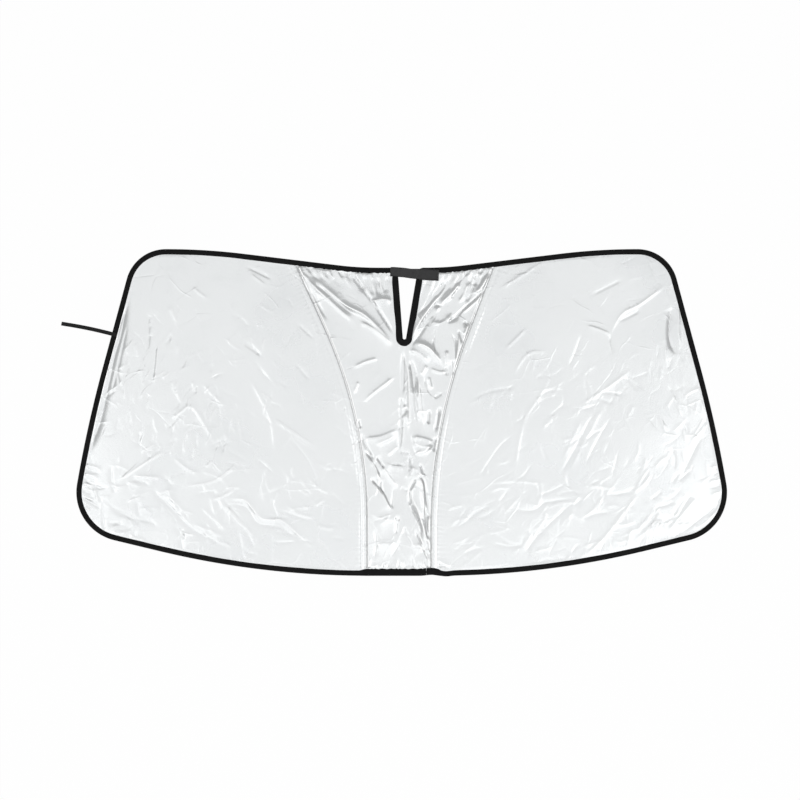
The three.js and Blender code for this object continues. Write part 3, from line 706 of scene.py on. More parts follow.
@dataclass
class Panel:
    """One hoop's taut panel of silver cloth, with the hem that laps over the gusset."""

    side: Side
    seam: Seam
    creases: tuple[Crease, ...]
    crumples: tuple[Crumple, ...]
    swell_height: float = 0.5
    swell_length: float = 220.0
    swell_seed: int = 11
    rows: int = 278
    columns: int = 250
    hem_columns: int = 20
    hem_inset: float = 12.0
    ridge: float = 0.3
    low_ridge: float = 0.3
    ridge_width: float = 2.6
    row_width: float = 1.6
    row_dip: float = 0.014
    row_shows: float = 380.0
    row_ramp: float = 60.0
    dot_depth: float = 26.0
    dot_turn: float = 0.88
    pucker: float = 0.35
    pucker_pitch: float = 10.0
    pucker_strays: tuple[Pair, ...] = ((1.7, 23.0), (0.9, 7.3))
    pucker_reach: float = 11.0
    pucker_ramp: Pair = (1.0, 5.0)
    edge_fade: float = 6.0
    hidden: Pair = (1.0, 3.0)

    def net(self) -> Net:
        """The panel's plan net, fine along its seam."""
        sign = self.seam.side
        edge = OUTLINE.fold(3.0).offset(LAYERS.cloth_inset)
        run = edge if sign < 0 else edge[::-1]
        inner = self.seam.line(OUTLINE, -self.hem_inset)
        foot, head = self.seam.foot(OUTLINE), self.seam.head(OUTLINE)
        low, high = crossing(run, inner, foot), crossing(run, inner, head)
        dash_corner = (sign * OUTLINE.dash_corner[0], OUTLINE.dash_corner[1])
        roof_corner = (sign * OUTLINE.roof_corner_x, OUTLINE.corner_y)
        dash, roof = (distances(run)[nearest(run, corner)] for corner in (dash_corner, roof_corner))
        grid = patch(
            spread(between(run, low, dash), self.columns)[::-1],
            spread(between(run, roof, high), self.columns),
            spread(between(run, dash, roof), self.rows),
            spread(self.seam.inside(OUTLINE, -self.hem_inset, edge), self.rows),
        )
        insets = np.linspace(-self.hem_inset, LAYERS.lap, self.hem_columns + 1)[1:]
        hem = [spread(self.seam.inside(OUTLINE, inset, edge), self.rows) for inset in insets]
        return merged([np.concatenate([grid, np.stack(hem, axis=1)], axis=1)])

    def heights(self, points: Array) -> Array:
        """The cloth's height at points in plan."""
        folds = self.swell_height * swell(points, self.swell_seed + self.seam.side, self.swell_length)
        creased(points, folds, self.creases, self.crumples)
        lips = lips_away(points)
        seam = self.seam.line(OUTLINE, 0.0)
        away, share = project(points, seam)
        off_seam, along = np.abs(away), share * distances(seam)[-1]
        free = smooth(lips / self.edge_fade) * smooth((off_seam - LAYERS.row_away) / self.edge_fade)
        inside = smooth((lips + self.hidden[0]) / self.hidden[1])
        low = smooth((self.row_shows - points[:, 1]) / self.row_ramp)
        wave = wavy(along, self.pucker_pitch, *self.pucker_strays)
        drawn = self.pucker * wave * np.exp(-off_seam / self.pucker_reach)
        drawn = drawn * smooth((off_seam - self.pucker_ramp[0]) / self.pucker_ramp[1])
        ridge = (self.ridge + self.low_ridge * low) * hump(off_seam / self.ridge_width)
        dots = 1 + self.dot_depth * low * (1 + np.sin(self.dot_turn * along)) / 2
        dips = self.row_dip * dots * hump((off_seam - LAYERS.row_away) / self.row_width)
        level = LAYERS.cloth_z + free * folds + inside * (drawn + ridge - dips)
        return np.maximum(level, LAYERS.cloth_low)

    def build(self) -> Piece:
        """Makes the panel."""
        net = self.net()
        return closed_sheet(f"{self.side.value}_silver_panel", net, self.heights(net.points), LAYERS.cloth)


@dataclass
class Gusset:
    """The cloth between the panels, gathered by elastic at the roof and dashboard edges."""

    creases: tuple[Crease, ...]
    crumples: tuple[Crumple, ...]
    lower_rows: int = 236
    upper_rows: int = 120
    half_columns: int = 80
    tucked_columns: int = 4
    shoulder_drop: float = 40.0
    far: float = 800.0
    swell_height: float = 1.6
    swell_length: float = 170.0
    swell_squeeze: Pair = (2.2, 1.0)
    gather_pitch: float = 17.0
    dash_gather_pitch: float = 13.0
    gather_height: float = 1.7
    gather_width: float = 3.2
    gather_length: float = 75.0
    gather_fade: float = 0.45
    dash_gather_length: float = 40.0
    length_shares: Pair = (0.25, 1.0)
    height_shares: Pair = (0.45, 1.0)
    furrow_share: float = 0.8
    width_shares: Pair = (0.7, 1.3)
    pitch_shares: Pair = (0.6, 1.4)
    most_lean: float = 0.4
    square_part: float = 0.4
    squareness: float = 0.6
    root_lap: float = 2.0
    roof_ends: Triple = (10.0, 4.0, 6.0)
    dash_end: float = 12.0
    tuck_depth: float = 1.3
    tuck_pitch: float = 12.0
    tuck_strays: tuple[Pair, ...] = ((2.0, 13.0), (1.1, 5.1))
    tuck_from: Pair = (2.5, 3.0)
    seam_gap: float = 1.4
    gap_at: Pair = (0.6, 1.5)
    gap_ramp: float = 4.0
    rise: float = 4.0
    free_from: Pair = (0.5, 5.0)
    puff: float = 2.2
    puff_rise: float = 4.5
    puff_reach: float = 14.0
    lowest: float = 0.9
    focus: Pair = (4.0, 500.0)
    dash_focus: Pair = (0.0, 330.0)
    seed: int = 7

    def net(self) -> Net:
        """The gusset's plan net: a lower part and two upper ones beside the notch."""
        edge = OUTLINE.fold(2.0).offset(LAYERS.cloth_inset)
        tip = edge[nearest(edge, OUTLINE.notch_tip)]
        shoulder = tip[1] - self.shoulder_drop
        level = np.array([[-self.far, shoulder], [self.far, shoulder]])
        insets = np.linspace(LAYERS.hem_clear, LAYERS.gusset_start, self.tucked_columns + 1)
        lowers, uppers = [], []
        for seam in SEAMS:
            lines = [seam.inside(OUTLINE, inset, edge) for inset in insets]
            cuts = [(line, crossing(line, level, tuple(tip))) for line in lines]
            lowers.append([spread(between(line, 0, cut), self.lower_rows) for line, cut in cuts])
            ends = [between(line, cut, distances(line)[-1]) for line, cut in cuts]
            uppers.append([spread(end, self.upper_rows) for end in ends])
        waists = [spread(np.array([low[0][-1], tip]), self.half_columns) for low in lowers]
        bottom = spread(np.array([lowers[0][0][0], lowers[1][0][0]]), 2 * self.half_columns)
        waist = np.concatenate([waists[0], waists[1][::-1][1:]])
        grids = [patch(bottom, waist, lowers[0][0], lowers[1][0])]
        for k, seam in enumerate(SEAMS):
            run = edge if k == 0 else edge[::-1]
            head = crossing(run, seam.line(OUTLINE, LAYERS.hem_clear), seam.head(OUTLINE))
            corner, end = (distances(run)[nearest(run, place)] for place in (OUTLINE.mouth(seam.side), tip))
            roof = spread(between(run, head, corner), self.half_columns)
            notch = spread(between(run, corner, end)[::-1], self.upper_rows)
            upper = patch(waists[k], roof, uppers[k][0], notch)
            grids += [upper, *(np.stack(part, axis=1) for part in (lowers[k], uppers[k]))]
        return merged(grids)

    def gathers(self) -> list[Crease]:
        """The short pleats that run in from the gathered edges, the same on each run."""
        rng = np.random.default_rng(self.seed)
        edge = OUTLINE.fold(4.0).offset(LAYERS.binding_width - self.root_lap)
        inset, first, last = self.roof_ends
        made: list[Crease] = []
        for seam in SEAMS:
            start = crossing(edge, seam.line(OUTLINE, inset), seam.head(OUTLINE))
            low, high = sorted((start, distances(edge)[nearest(edge, OUTLINE.mouth(seam.side))]))
            run = between(edge, low + first, high - last)
            made += self.pleats(rng, run, self.gather_pitch, self.gather_length, self.focus)
        left, right = self.dash_end - LEFT_SEAM.foot_x, RIGHT_SEAM.foot_x - self.dash_end
        dash = np.array([[left, edge[0][1]], [right, edge[0][1]]])
        made += self.pleats(rng, dash, self.dash_gather_pitch, self.dash_gather_length, self.dash_focus)
        return made

    def pleats(
        self, rng: np.random.Generator, edge: Array, pitch: float, reach: float, focus: Pair
    ) -> list[Crease]:
        """Pleats along a stretch of an edge, each bending towards a focus.

        Args:
            rng: draws the pleats' places and sizes.
            edge: the line that they start from.
            pitch: the mean distance between two pleats.
            reach: the length of the longest.
            focus: the point in plan that they bend towards.

        Returns:
            The pleats.
        """
        made, s, sign = [], 0.0, 1.0
        while s < distances(edge)[-1]:
            root = at(edge, s)
            towards = np.array(focus) - root
            towards /= np.linalg.norm(towards)
            square = np.array([0.0, math.copysign(1.0, towards[1])])
            length = reach * rng.uniform(*self.length_shares)
            way_out = self.squareness * square + (1 - self.squareness) * towards
            middle = root + self.square_part * length * way_out
            tip = middle + (1 - self.square_part) * length * towards
            share = 1.0 if sign > 0 else self.furrow_share
            height = sign * self.gather_height * rng.uniform(*self.height_shares) * share
            width = self.gather_width * rng.uniform(*self.width_shares)
            way = (tuple(root), tuple(middle), tuple(tip))
            lean = rng.uniform(-self.most_lean, self.most_lean)
            made.append(Crease(way, height, width, lean, self.gather_fade, fade_start=False))
            s += pitch * rng.uniform(*self.pitch_shares) / 2
            sign = -sign
        return made

    def heights(self, points: Array) -> Array:
        """The cloth's height at points in plan."""
        folds = self.swell_height * swell(points * self.swell_squeeze, self.seed, self.swell_length)
        creased(points, folds, self.creases, self.crumples)
        for pleat in self.gathers():
            pleat.lift(points, folds)
        lips = lips_away(points)
        off_seam = np.min([np.abs(project(points, seam.line(OUTLINE, 0.0))[0]) for seam in SEAMS], axis=0)
        clear = off_seam - LAYERS.hem_clear
        risen = smooth(clear / self.rise)
        free = smooth((lips + self.free_from[0]) / self.free_from[1]) * risen
        level = LAYERS.gusset_seam_z + (LAYERS.cloth_z - LAYERS.gusset_seam_z) * risen
        spent = np.exp(-np.maximum(off_seam - self.puff_reach, 0) / self.puff_reach)
        folds += self.puff * smooth(clear / self.puff_rise) * spent
        tucks = self.tuck_depth * (0.5 + 0.5 * wavy(points[:, 0], self.tuck_pitch, *self.tuck_strays)) * risen
        gap = self.seam_gap * hump((clear - self.gap_at[0]) / self.gap_at[1]) * smooth(lips / self.gap_ramp)
        inside = smooth((-lips - self.tuck_from[0]) / self.tuck_from[1])
        return np.maximum(level + free * folds - inside * tucks - gap, self.lowest)

    def build(self) -> Piece:
        """Makes the gusset."""
        net = self.net()
        return closed_sheet("gathered_gusset", net, self.heights(net.points), LAYERS.cloth)


@dataclass(frozen=True)
class Casing:
    """The strip of cloth under a hoop's wire along its seam."""

    side: Side
    seam: Seam
    rows: int = 230
    columns: int = 16
    pucker: float = 0.12
    pucker_turns: Pair = (800.0, 90.0)
    row_width: float = 1.4
    rolled_from: float = 6.5
    rolled_width: float = 1.5

    def build(self) -> Piece:
        """Makes the strip."""
        lips = OUTLINE.fold(3.0).offset(LAYERS.binding_width + 0.3)
        insets = np.linspace(-LAYERS.casing_half, LAYERS.casing_half, self.columns + 1)
        lines = [spread(self.seam.inside(OUTLINE, inset, lips), self.rows) for inset in insets]
        net = merged([np.stack(lines, axis=1)])
        away, share = project(net.points, self.seam.line(OUTLINE, 0.0))
        off_seam = np.abs(away)
        turns, stray = self.pucker_turns
        waves = 1 + np.sin(share * turns + 2 * np.sin(share * stray))
        drawn = self.pucker * waves * hump((off_seam - LAYERS.row_away) / self.row_width)
        rolled = self.pucker * smooth((off_seam - self.rolled_from) / self.rolled_width)
        z = LAYERS.casing_z + drawn - rolled
        return closed_sheet(f"{self.side.value}_wire_casing", net, z, LAYERS.cloth)


# Tape, strap and webbing


@dataclass(frozen=True)
class EdgeBinding:
    """The black tape folded over the whole edge, with the wire's bead along its fold."""

    step: float = 4.0
    upper: tuple[Pair, ...] = (
        (11.0, 0.0),
        (6.0, 0.0),
        (1.6, 0.0),
        (0.2, 0.35),
        (-0.5, 1.4),
        (-0.6, 2.6),
        (-0.1, 3.9),
        (1.2, 4.72),
        (3.0, 4.85),
        (5.6, 4.62),
        (8.4, 4.42),
        (11.5, 4.36),
    )
    inner: tuple[Pair, ...] = (
        (11.5, 3.78),
        (8.4, 3.84),
        (5.6, 3.92),
        (3.4, 4.02),
        (1.9, 3.9),
        (1.0, 3.3),
        (0.75, 2.6),
        (0.8, 1.6),
        (1.4, 0.8),
        (2.6, 0.7),
        (6.0, 0.7),
        (11.0, 0.7),
    )
    end_lap: float = 0.3
    wobble: float = 0.25
    wobble_waves: tuple[Triple, ...] = ((0.6, 37.0, 0.0), (0.4, 11.3, 1.0))
    wobble_ramp: Pair = (5.0, 6.0)
    pucker: float = 0.32
    pucker_pitch: float = 8.0
    pucker_stray: Pair = (1.3, 19.0)
    notch_half: float = 60.0
    notch_above: float = 400.0
    notch_ramp: Pair = (6.0, 30.0)
    notch_fullness: float = 0.24
    foot_ends: Pair = (-95.0, 92.0)
    foot_ramps: Pair = (15.0, 14.0)
    foot_below: float = 20.0
    foot_fullness: float = 0.3
    kink_in: Triple = (66.0, 14.0, 2.2)
    kink_out: Triple = (100.0, 12.0, 1.6)
    scallop: float = 0.8
    scallop_length: float = 2.1
    scallop_stray: Pair = (2.2, 9.7)
    scallop_ramp: Pair = (7.0, 4.0)
    stitch_above: Pair = (9.0, 4.5)
    stitch_below: Pair = (9.0, 0.05)

    def follow(self, section: Array, step: float) -> tuple[Array, Array]:
        """Carries points of the section round the edge, drawn into puckers where elastic gathers it.

        Args:
            section: insets from the fold and heights, one point to a row.
            step: the longest step along the fold.

        Returns:
            For each place along the fold, the section's points in space, and the distances along.
        """
        run = OUTLINE.fold(step)
        points, normals = run.points.copy(), run.normals
        points[0, 0] -= self.end_lap
        points[-1, 0] += self.end_lap
        along = distances(points)
        wander = sum(size * np.sin(along / length + turn) for size, length, turn in self.wobble_waves)
        start, ramp = self.wobble_ramp
        inset = section[None, :, 0] + self.wobble * wander[:, None] * smooth((section[:, 0] - start) / ramp)
        inset = inset * (1 + self.fullness(points)[:, None])
        x, low = points[:, 0], points[:, 1] < self.foot_below
        for sign, (centre, width, depth) in ((1, self.kink_in), (-1, self.kink_out)):
            inset = inset + sign * depth * (hump((x - centre) / width) * low)[:, None]
        gathered = self.gathered(points)
        size, length = self.scallop_stray
        scallop = np.sin(along / self.scallop_length + size * np.sin(along / length)) * gathered
        start, ramp = self.scallop_ramp
        inset = inset + self.scallop * scallop[:, None] * smooth((section[:, 0] - start) / ramp)
        wave = wavy(along, self.pucker_pitch, self.pucker_stray) * gathered
        top = smooth((section[:, 1] - 3.0) / 1.0) * smooth((section[:, 0] - 1.0) / 5.0)
        z = section[None, :, 1] + self.pucker * (wave[:, None] + gathered[:, None]) * top
        plan = points[:, None] + inset[..., None] * normals[:, None]
        return np.concatenate([plan, z[..., None]], axis=-1), along

    def build(self) -> Piece:
        """Makes the tape."""
        section = np.array(self.upper + self.inner)
        rings, along = self.follow(section, self.step)
        return swept("edge_tape", rings, distances(section), along)

    def rows(self) -> list[Array]:
        """The lines of the stitches that close the tape, above and below."""
        rings, _ = self.follow(np.array([self.stitch_above, self.stitch_below]), 2.0)
        return [rings[:, 0], rings[:, 1]]

    def fullness(self, points: Array) -> Array:
        """How much wider the tape is at points of its fold: in the notch and at the gusset's foot."""
        x, y = points.T
        depth, ramp = self.notch_ramp
        in_notch = (np.abs(x) < self.notch_half) * (y > self.notch_above)
        deep = in_notch * smooth((OUTLINE.roof_y - depth - y) / ramp)
        (start, end), (rise, fall) = self.foot_ends, self.foot_ramps
        foot = smooth((x - start) / rise) * smooth((end - x) / fall) * (y < self.foot_below)
        return self.notch_fullness * deep + self.foot_fullness * foot

    def gathered(self, points: Array) -> Array:
        """How strongly elastic draws the tape at points of its fold, from 0 to 1."""
        x, y = points.T
        roof = (y > OUTLINE.roof_y - 20) & (x > -LEFT_SEAM.head_x + 12) & (x < RIGHT_SEAM.head_x - 12)
        dash = (y < 0) & (x > -LEFT_SEAM.foot_x + 8) & (x < RIGHT_SEAM.foot_x - 8)
        mouth = np.abs(x - OUTLINE.mouth_x) < OUTLINE.mouth_width / 2 + 16
        strong = (roof & ~mouth) | dash
        return np.convolve(strong.astype(float), np.ones(5) / 5, mode="same")


def rounded_ring(width: float, thickness: float, round_share: float = 0.9, steps: int = 5) -> Array:
    """The outline of a thin strip's section: across and up, with rounded edges and level faces."""
    radius = round_share * thickness / 2
    turn = np.linspace(-math.pi / 2, math.pi / 2, steps)
    right = np.stack([width / 2 - radius + radius * np.cos(turn), thickness / 2 * np.sin(turn)], -1)
    top = np.linspace(width / 2 - radius, -width / 2 + radius, 9)[1:-1]
    upper = np.stack([top, np.full(7, thickness / 2)], -1)
    left = np.stack([-right[::-1, 0], right[::-1, 1]], -1)
    lower = np.stack([top[::-1], np.full(7, -thickness / 2)], -1)
    ring = np.concatenate([right, upper, left, lower])
    return np.roll(ring, -(len(right) // 2), axis=0)


@dataclass(frozen=True)
class Band:
    """A flat strip laid in a direction, whose side view is a line of distance along and height.

    Its waist, where given, is distances along with the width and the shift to the right there.
    """

    name: str
    origin: Pair
    angle: float
    side_view: Array
    width: float
    thickness: float
    bow: float = 0.0
    ragged: float = 0.0
    step: float = 1.5
    seed: int = 3
    waist: tuple[Triple, ...] = ()

    def build(self) -> Piece:
        """Makes the strip."""
        view = spread(self.side_view, max(4, int(distances(self.side_view)[-1] / self.step)))
        way = np.gradient(view, axis=0)
        way /= np.linalg.norm(way, axis=1, keepdims=True)
        ring = rounded_ring(self.width, self.thickness)
        rng = np.random.default_rng(self.seed)
        fray = 1 + self.ragged * np.convolve(rng.normal(size=len(view) + 4), np.ones(5) / 5, mode="valid")
        s = view[:, 0, None] - way[:, 1, None] * ring[None, :, 1]
        z = view[:, 1, None] + way[:, 0, None] * ring[None, :, 1]
        across = ring[None, :, 0] * fray[:, None]
        if self.waist:
            where, widths, shifts = np.array(self.waist).T
            across = across * np.interp(s, where, widths) / self.width + np.interp(s, where, shifts)
        side = across - self.bow * np.sin(math.pi * s / view[:, 0].max())
        cos, sin = math.cos(self.angle), math.sin(self.angle)
        x = self.origin[0] + s * cos + side * sin
        y = self.origin[1] + s * sin - side * cos
        return swept(self.name, np.stack([x, y, z], -1), distances(ring), distances(view))


# Node trees


class Desk:
    """A node tree that is being filled in."""

    def __init__(self, tree: Tree) -> None:
        """Takes the tree to fill in."""
        self.tree = tree

    def add(self, kind: str, inputs: dict | None = None, **settings: object) -> Node:
        """Adds a node.

        Args:
            kind: the node's type.
            inputs: for each input's name or number, a value or the socket that feeds it.
            settings: the node's own properties.

        Returns:
            The node.
        """
        node = self.tree.nodes.new(kind)
        for key, value in settings.items():
            setattr(node, key, value)
        self.feed(node, inputs or {})
        return node

    def feed(self, node: Node, inputs: dict) -> None:
        """Links a node's inputs, by name or number, to sockets or sets them to values."""
        for key, value in inputs.items():
            if isinstance(value, Socket):
                self.tree.links.new(value, node.inputs[key])
            else:
                node.inputs[key].default_value = value

    def group(self, tree: Tree, **inputs: object) -> Node:
        """Adds a node for a shared group, with its inputs."""
        return self.add("ShaderNodeGroup", inputs, node_tree=tree)

    def vector(self, operation: str, inputs: dict) -> Socket:
        """The result of a Vector Math node."""
        return self.add("ShaderNodeVectorMath", inputs, operation=operation).outputs[0]

    def sum_of(self, operation: str, a: object, b: object = 0.0, c: object = 0.0) -> Socket:
        """The result of a Math node on up to three values or sockets."""
        return self.add("ShaderNodeMath", {0: a, 1: b, 2: c}, operation=operation).outputs[0]

    def ramp(self, value: Socket, low: float, high: float, to: tuple = (0.0, 1.0)) -> Socket:
        """The value's place between low and high, softly, from to[0] to to[1]."""
        inputs = {"Value": value, "From Min": low, "From Max": high, "To Min": to[0], "To Max": to[1]}
        return self.add("ShaderNodeMapRange", inputs, interpolation_type="SMOOTHSTEP").outputs[0]

    def noise(self, vector: Socket, scale: object, detail: float = 2.0, rough: float = 0.5) -> Socket:
        """A noise texture's value."""
        inputs = {"Vector": vector, "Scale": scale, "Detail": detail, "Roughness": rough}
        return self.add("ShaderNodeTexNoise", inputs).outputs["Fac"]


def new_group(
    name: str, inputs: dict[str, float | None], outputs: tuple[str, ...]
) -> tuple[Desk, dict[str, Socket], Node]:
    """Starts a shader node group.

    Args:
        name: the group's name.
        inputs: for each input, its value, or None for a vector.
        outputs: the names of its float outputs.

    Returns:
        The desk, the input sockets by name and the output node.
    """
    tree = bpy.data.node_groups.new(name, "ShaderNodeTree")
    for key, value in inputs.items():
        kind = "NodeSocketVector" if value is None else "NodeSocketFloat"
        socket = tree.interface.new_socket(key, in_out="INPUT", socket_type=kind)
        if value is not None:
            socket.default_value = value
    for key in outputs:
        tree.interface.new_socket(key, in_out="OUTPUT", socket_type="NodeSocketFloat")
    desk = Desk(tree)
    source = desk.add("NodeGroupInput")
    sink = desk.add("NodeGroupOutput")
    return desk, {s.name: s for s in source.outputs if s.name}, sink


def weave_group() -> Tree:
    """Plain weave: Height and Thread from a vector in metres and the thread pitch."""
    desk, given, sink = new_group("plain weave", {"Vector": None, "Pitch": 0.0004}, ("Height", "Thread"))
    apart = desk.add("ShaderNodeSeparateXYZ", {0: given["Vector"]})
    turn = desk.sum_of("DIVIDE", math.pi, given["Pitch"])
    waves = [desk.sum_of("MULTIPLY", apart.outputs[k], turn) for k in (0, 1)]
    crowns = [desk.sum_of("ABSOLUTE", desk.sum_of("SINE", w)) for w in waves]
    quarter = [desk.sum_of("SIGN", desk.sum_of("SINE", w)) for w in waves]
    over = desk.sum_of("MULTIPLY_ADD", desk.sum_of("MULTIPLY", *quarter), 0.5, 0.5)
    upper = desk.sum_of("MULTIPLY", crowns[0], over)
    lower = desk.sum_of("MULTIPLY", crowns[1], desk.sum_of("SUBTRACT", 1.0, over))
    desk.feed(sink, {"Height": desk.sum_of("ADD", upper, lower), "Thread": over})
    return desk.tree


def crinkle_group() -> Tree:
    """Straight hard creases as in foil-coated cloth: Height, up to 1, from cell Size and Line width."""
    sizes = {"Vector": None, "Size": 0.08, "Line": 0.0016, "Share": 0.5, "Seed": 0.0}
    desk, given, sink = new_group("foil crinkle", sizes, ("Height",))
    over = desk.sum_of("DIVIDE", 1.0, given["Size"])
    scaled = desk.vector("SCALE", {0: given["Vector"], "Scale": over})
    bend = desk.add("ShaderNodeTexNoise", {"Vector": scaled, "Scale": 1.4, "Detail": 1.0}).outputs["Color"]
    moved = desk.vector("MULTIPLY_ADD", {0: bend, 1: (0.22, 0.22, 0.0), 2: scaled})
    seeded = {"Vector": moved, "W": given["Seed"], "Scale": 1.0}
    edge = desk.add("ShaderNodeTexVoronoi", seeded, voronoi_dimensions="4D", feature="DISTANCE_TO_EDGE")
    away = desk.sum_of("MULTIPLY", edge.outputs["Distance"], given["Size"])
    fall = desk.sum_of("EXPONENT", desk.sum_of("MULTIPLY", desk.sum_of("DIVIDE", away, given["Line"]), -1.0))
    spots = {"Vector": scaled, "W": given["Seed"], "Scale": 1.1, "Detail": 1.0}
    where = desk.add("ShaderNodeTexNoise", spots, noise_dimensions="4D").outputs[0]
    gap = desk.sum_of("MULTIPLY_ADD", given["Share"], -0.4, 0.7)
    kept = desk.sum_of("MULTIPLY", desk.sum_of("SUBTRACT", where, gap), 12.0)
    kept = desk.add("ShaderNodeClamp", {0: kept}).outputs[0]
    signs = {"Vector": scaled, "W": given["Seed"], "Scale": 0.7, "Detail": 0.0}
    sign = desk.add("ShaderNodeTexNoise", signs, noise_dimensions="4D").outputs[0]
    sign = desk.ramp(sign, 0.42, 0.54, (-0.7, 1.0))
    desk.feed(sink, {"Height": desk.sum_of("MULTIPLY", desk.sum_of("MULTIPLY", fall, kept), sign)})
    return desk.tree


def wear_group() -> Tree:
    """Dust and rubbing from handling: a mask of soft clouds broken up by specks."""
    sizes = {"Vector": None, "Cloud": 8.0, "Speck": 400.0}
    desk, given, sink = new_group("handling", sizes, ("Mask", "Specks"))
    cloud = desk.noise(given["Vector"], given["Cloud"], 4.0)
    specks = desk.ramp(desk.noise(given["Vector"], given["Speck"]), 0.58, 0.72)
    thinned = desk.sum_of("MULTIPLY_ADD", specks, 0.5, 0.5)
    mask = desk.sum_of("MULTIPLY", desk.ramp(cloud, 0.4, 0.75), thinned)
    desk.feed(sink, {"Mask": mask, "Specks": specks})
    return desk.tree


@dataclass
class Groups:
    """The shared node groups, each built once."""

    weave: Tree = field(default_factory=weave_group)
    crinkle: Tree = field(default_factory=crinkle_group)
    wear: Tree = field(default_factory=wear_group)


# Finishes


class Grain(Enum):
    """What the pattern of a finish follows."""

    PLACE = "Object"
    LENGTH = "UV"


def mixed(desk: Desk, mask: object, a: object, b: object) -> Socket:
    """A colour between a and b, each a colour or a socket, by a mask."""
    a, b = (c if isinstance(c, Socket) else (*c, 1.0) for c in (a, b))
    return desk.add("ShaderNodeMix", {"Factor": mask, 6: a, 7: b}, data_type="RGBA").outputs[2]


def bumped(desk: Desk, height: Socket, distance: float, strength: float = 1.0, over: object = None) -> Socket:
    """A normal bent by a height field, on top of another where one is given."""
    inputs = {"Height": height, "Distance": distance, "Strength": strength}
    if over is not None:
        inputs["Normal"] = over
    return desk.add("ShaderNodeBump", inputs).outputs[0]


@dataclass(frozen=True)
class Taffeta:
    """Polyester taffeta with a bright metal coat, lightly crinkled, with a painted highlight on crests and
    painted shade in furrows.
    """

    name: str = "silver taffeta"
    bright: Colour = (0.86, 0.878, 0.884)
    dull: Colour = (0.80, 0.822, 0.83)
    # Painted highlight colour for crests, then painted shade colour for furrows
    crest: Colour = (0.985, 0.99, 0.99)
    furrow: Colour = (0.40, 0.405, 0.41)
    metallic: float = 0.88
    polish: Pair = (0.24, 0.36)
    crest_bend: float = 0.09
    weave_pitch: float = 0.00045
    weave_height: float = 0.000008
    creases: tuple[tuple[float, float, float, float, float], ...] = (
        (0.085, 0.0016, 0.56, 0.0, 0.0004),
        (0.047, 0.0012, 0.50, 3.3, 0.00022),
    )

    def material(self, groups: Groups) -> Material:
        """Builds the material. Each of its creases is a cell size, line width, share, seed and height."""
        material, desk, shader = blank(self.name)
        place = desk.add("ShaderNodeTexCoord").outputs["Object"]
        wear = desk.group(groups.wear, Vector=place, Cloud=6.0, Speck=900.0)
        relief = desk.add("ShaderNodeAttribute", attribute_name=RELIEF, attribute_type="GEOMETRY")
        bend = relief.outputs["Fac"]
        colour = mixed(desk, wear.outputs["Mask"], self.bright, self.dull)
        # Painted highlight: the colour turns near white where the cloth bends up into a crest
        colour = mixed(desk, desk.ramp(bend, 0.004, self.crest_bend), colour, self.crest)
        # Painted shade: the colour turns dark grey where the cloth bends down into a furrow
        colour = mixed(desk, desk.ramp(bend, -0.012, -1.6 * self.crest_bend), colour, self.furrow)
        normal = None
        for size, line, share, seed, height in self.creases:
            crinkle = desk.group(groups.crinkle, Vector=place, Size=size, Line=line, Share=share, Seed=seed)
            normal = bumped(desk, crinkle.outputs["Height"], height, over=normal)
        weave = desk.group(groups.weave, Vector=place, Pitch=self.weave_pitch)
        looks = {
            "Base Color": colour,
            "Roughness": desk.ramp(wear.outputs["Mask"], 0.0, 0.8, self.polish),
            "Normal": bumped(desk, weave.outputs["Height"], self.weave_height, over=normal),
            "Metallic": self.metallic,
        }
        desk.feed(shader, looks)
        return material


@dataclass(frozen=True)
class Webbing:
    """Woven tape, elastic or thread, with ribs along or across its length, painted lighter on the rib crowns.
    """

    name: str
    deep: Colour
    # Colour of the painted highlight on rib crowns and of real wear
    crown_highlight_and_wear: Colour
    rib_pitch: float = 0.0008
    rib_height: float = 0.00006
    cross_pitch: float = 0.0011
    grain: Grain = Grain.LENGTH
    roughness: Pair = (0.62, 0.82)
    sheen: float = 0.2
    specular: float = 0.25
    fuzz: float = 0.00008

    def material(self, groups: Groups) -> Material:
        """Builds the material."""
        material, desk, shader = blank(self.name)
        source = desk.add("ShaderNodeTexCoord")
        place = source.outputs[self.grain.value]
        apart = desk.add("ShaderNodeSeparateXYZ", {0: place})
        ribs = desk.sum_of("SINE", desk.sum_of("MULTIPLY", apart.outputs[0], math.tau / self.rib_pitch))
        cords = desk.sum_of("SINE", desk.sum_of("MULTIPLY", apart.outputs[1], math.tau / self.cross_pitch))
        relief = desk.sum_of("MULTIPLY_ADD", cords, 0.35, ribs)
        wear = desk.group(groups.wear, Vector=source.outputs["Object"], Cloud=25.0, Speck=1500.0)
        # Painted highlight: rib crowns lighter in colour, mixed with real wear from handling
        crown = desk.ramp(relief, 0.2, 1.3)
        shade = desk.sum_of("MULTIPLY_ADD", crown, 0.45, desk.sum_of("MULTIPLY", wear.outputs["Mask"], 0.5))
        fibres = desk.noise(source.outputs["Object"], 2600.0, 3.0, 0.6)
        looks = {
            "Base Color": mixed(desk, shade, self.deep, self.crown_highlight_and_wear),
            "Roughness": desk.ramp(wear.outputs["Specks"], 0.0, 1.0, self.roughness),
            "Normal": bumped(desk, relief, self.rib_height, over=bumped(desk, fibres, self.fuzz)),
            "Sheen Weight": self.sheen,
            "Sheen Roughness": 0.45,
            "Specular IOR Level": self.specular,
        }
        desk.feed(shader, looks)
        return material


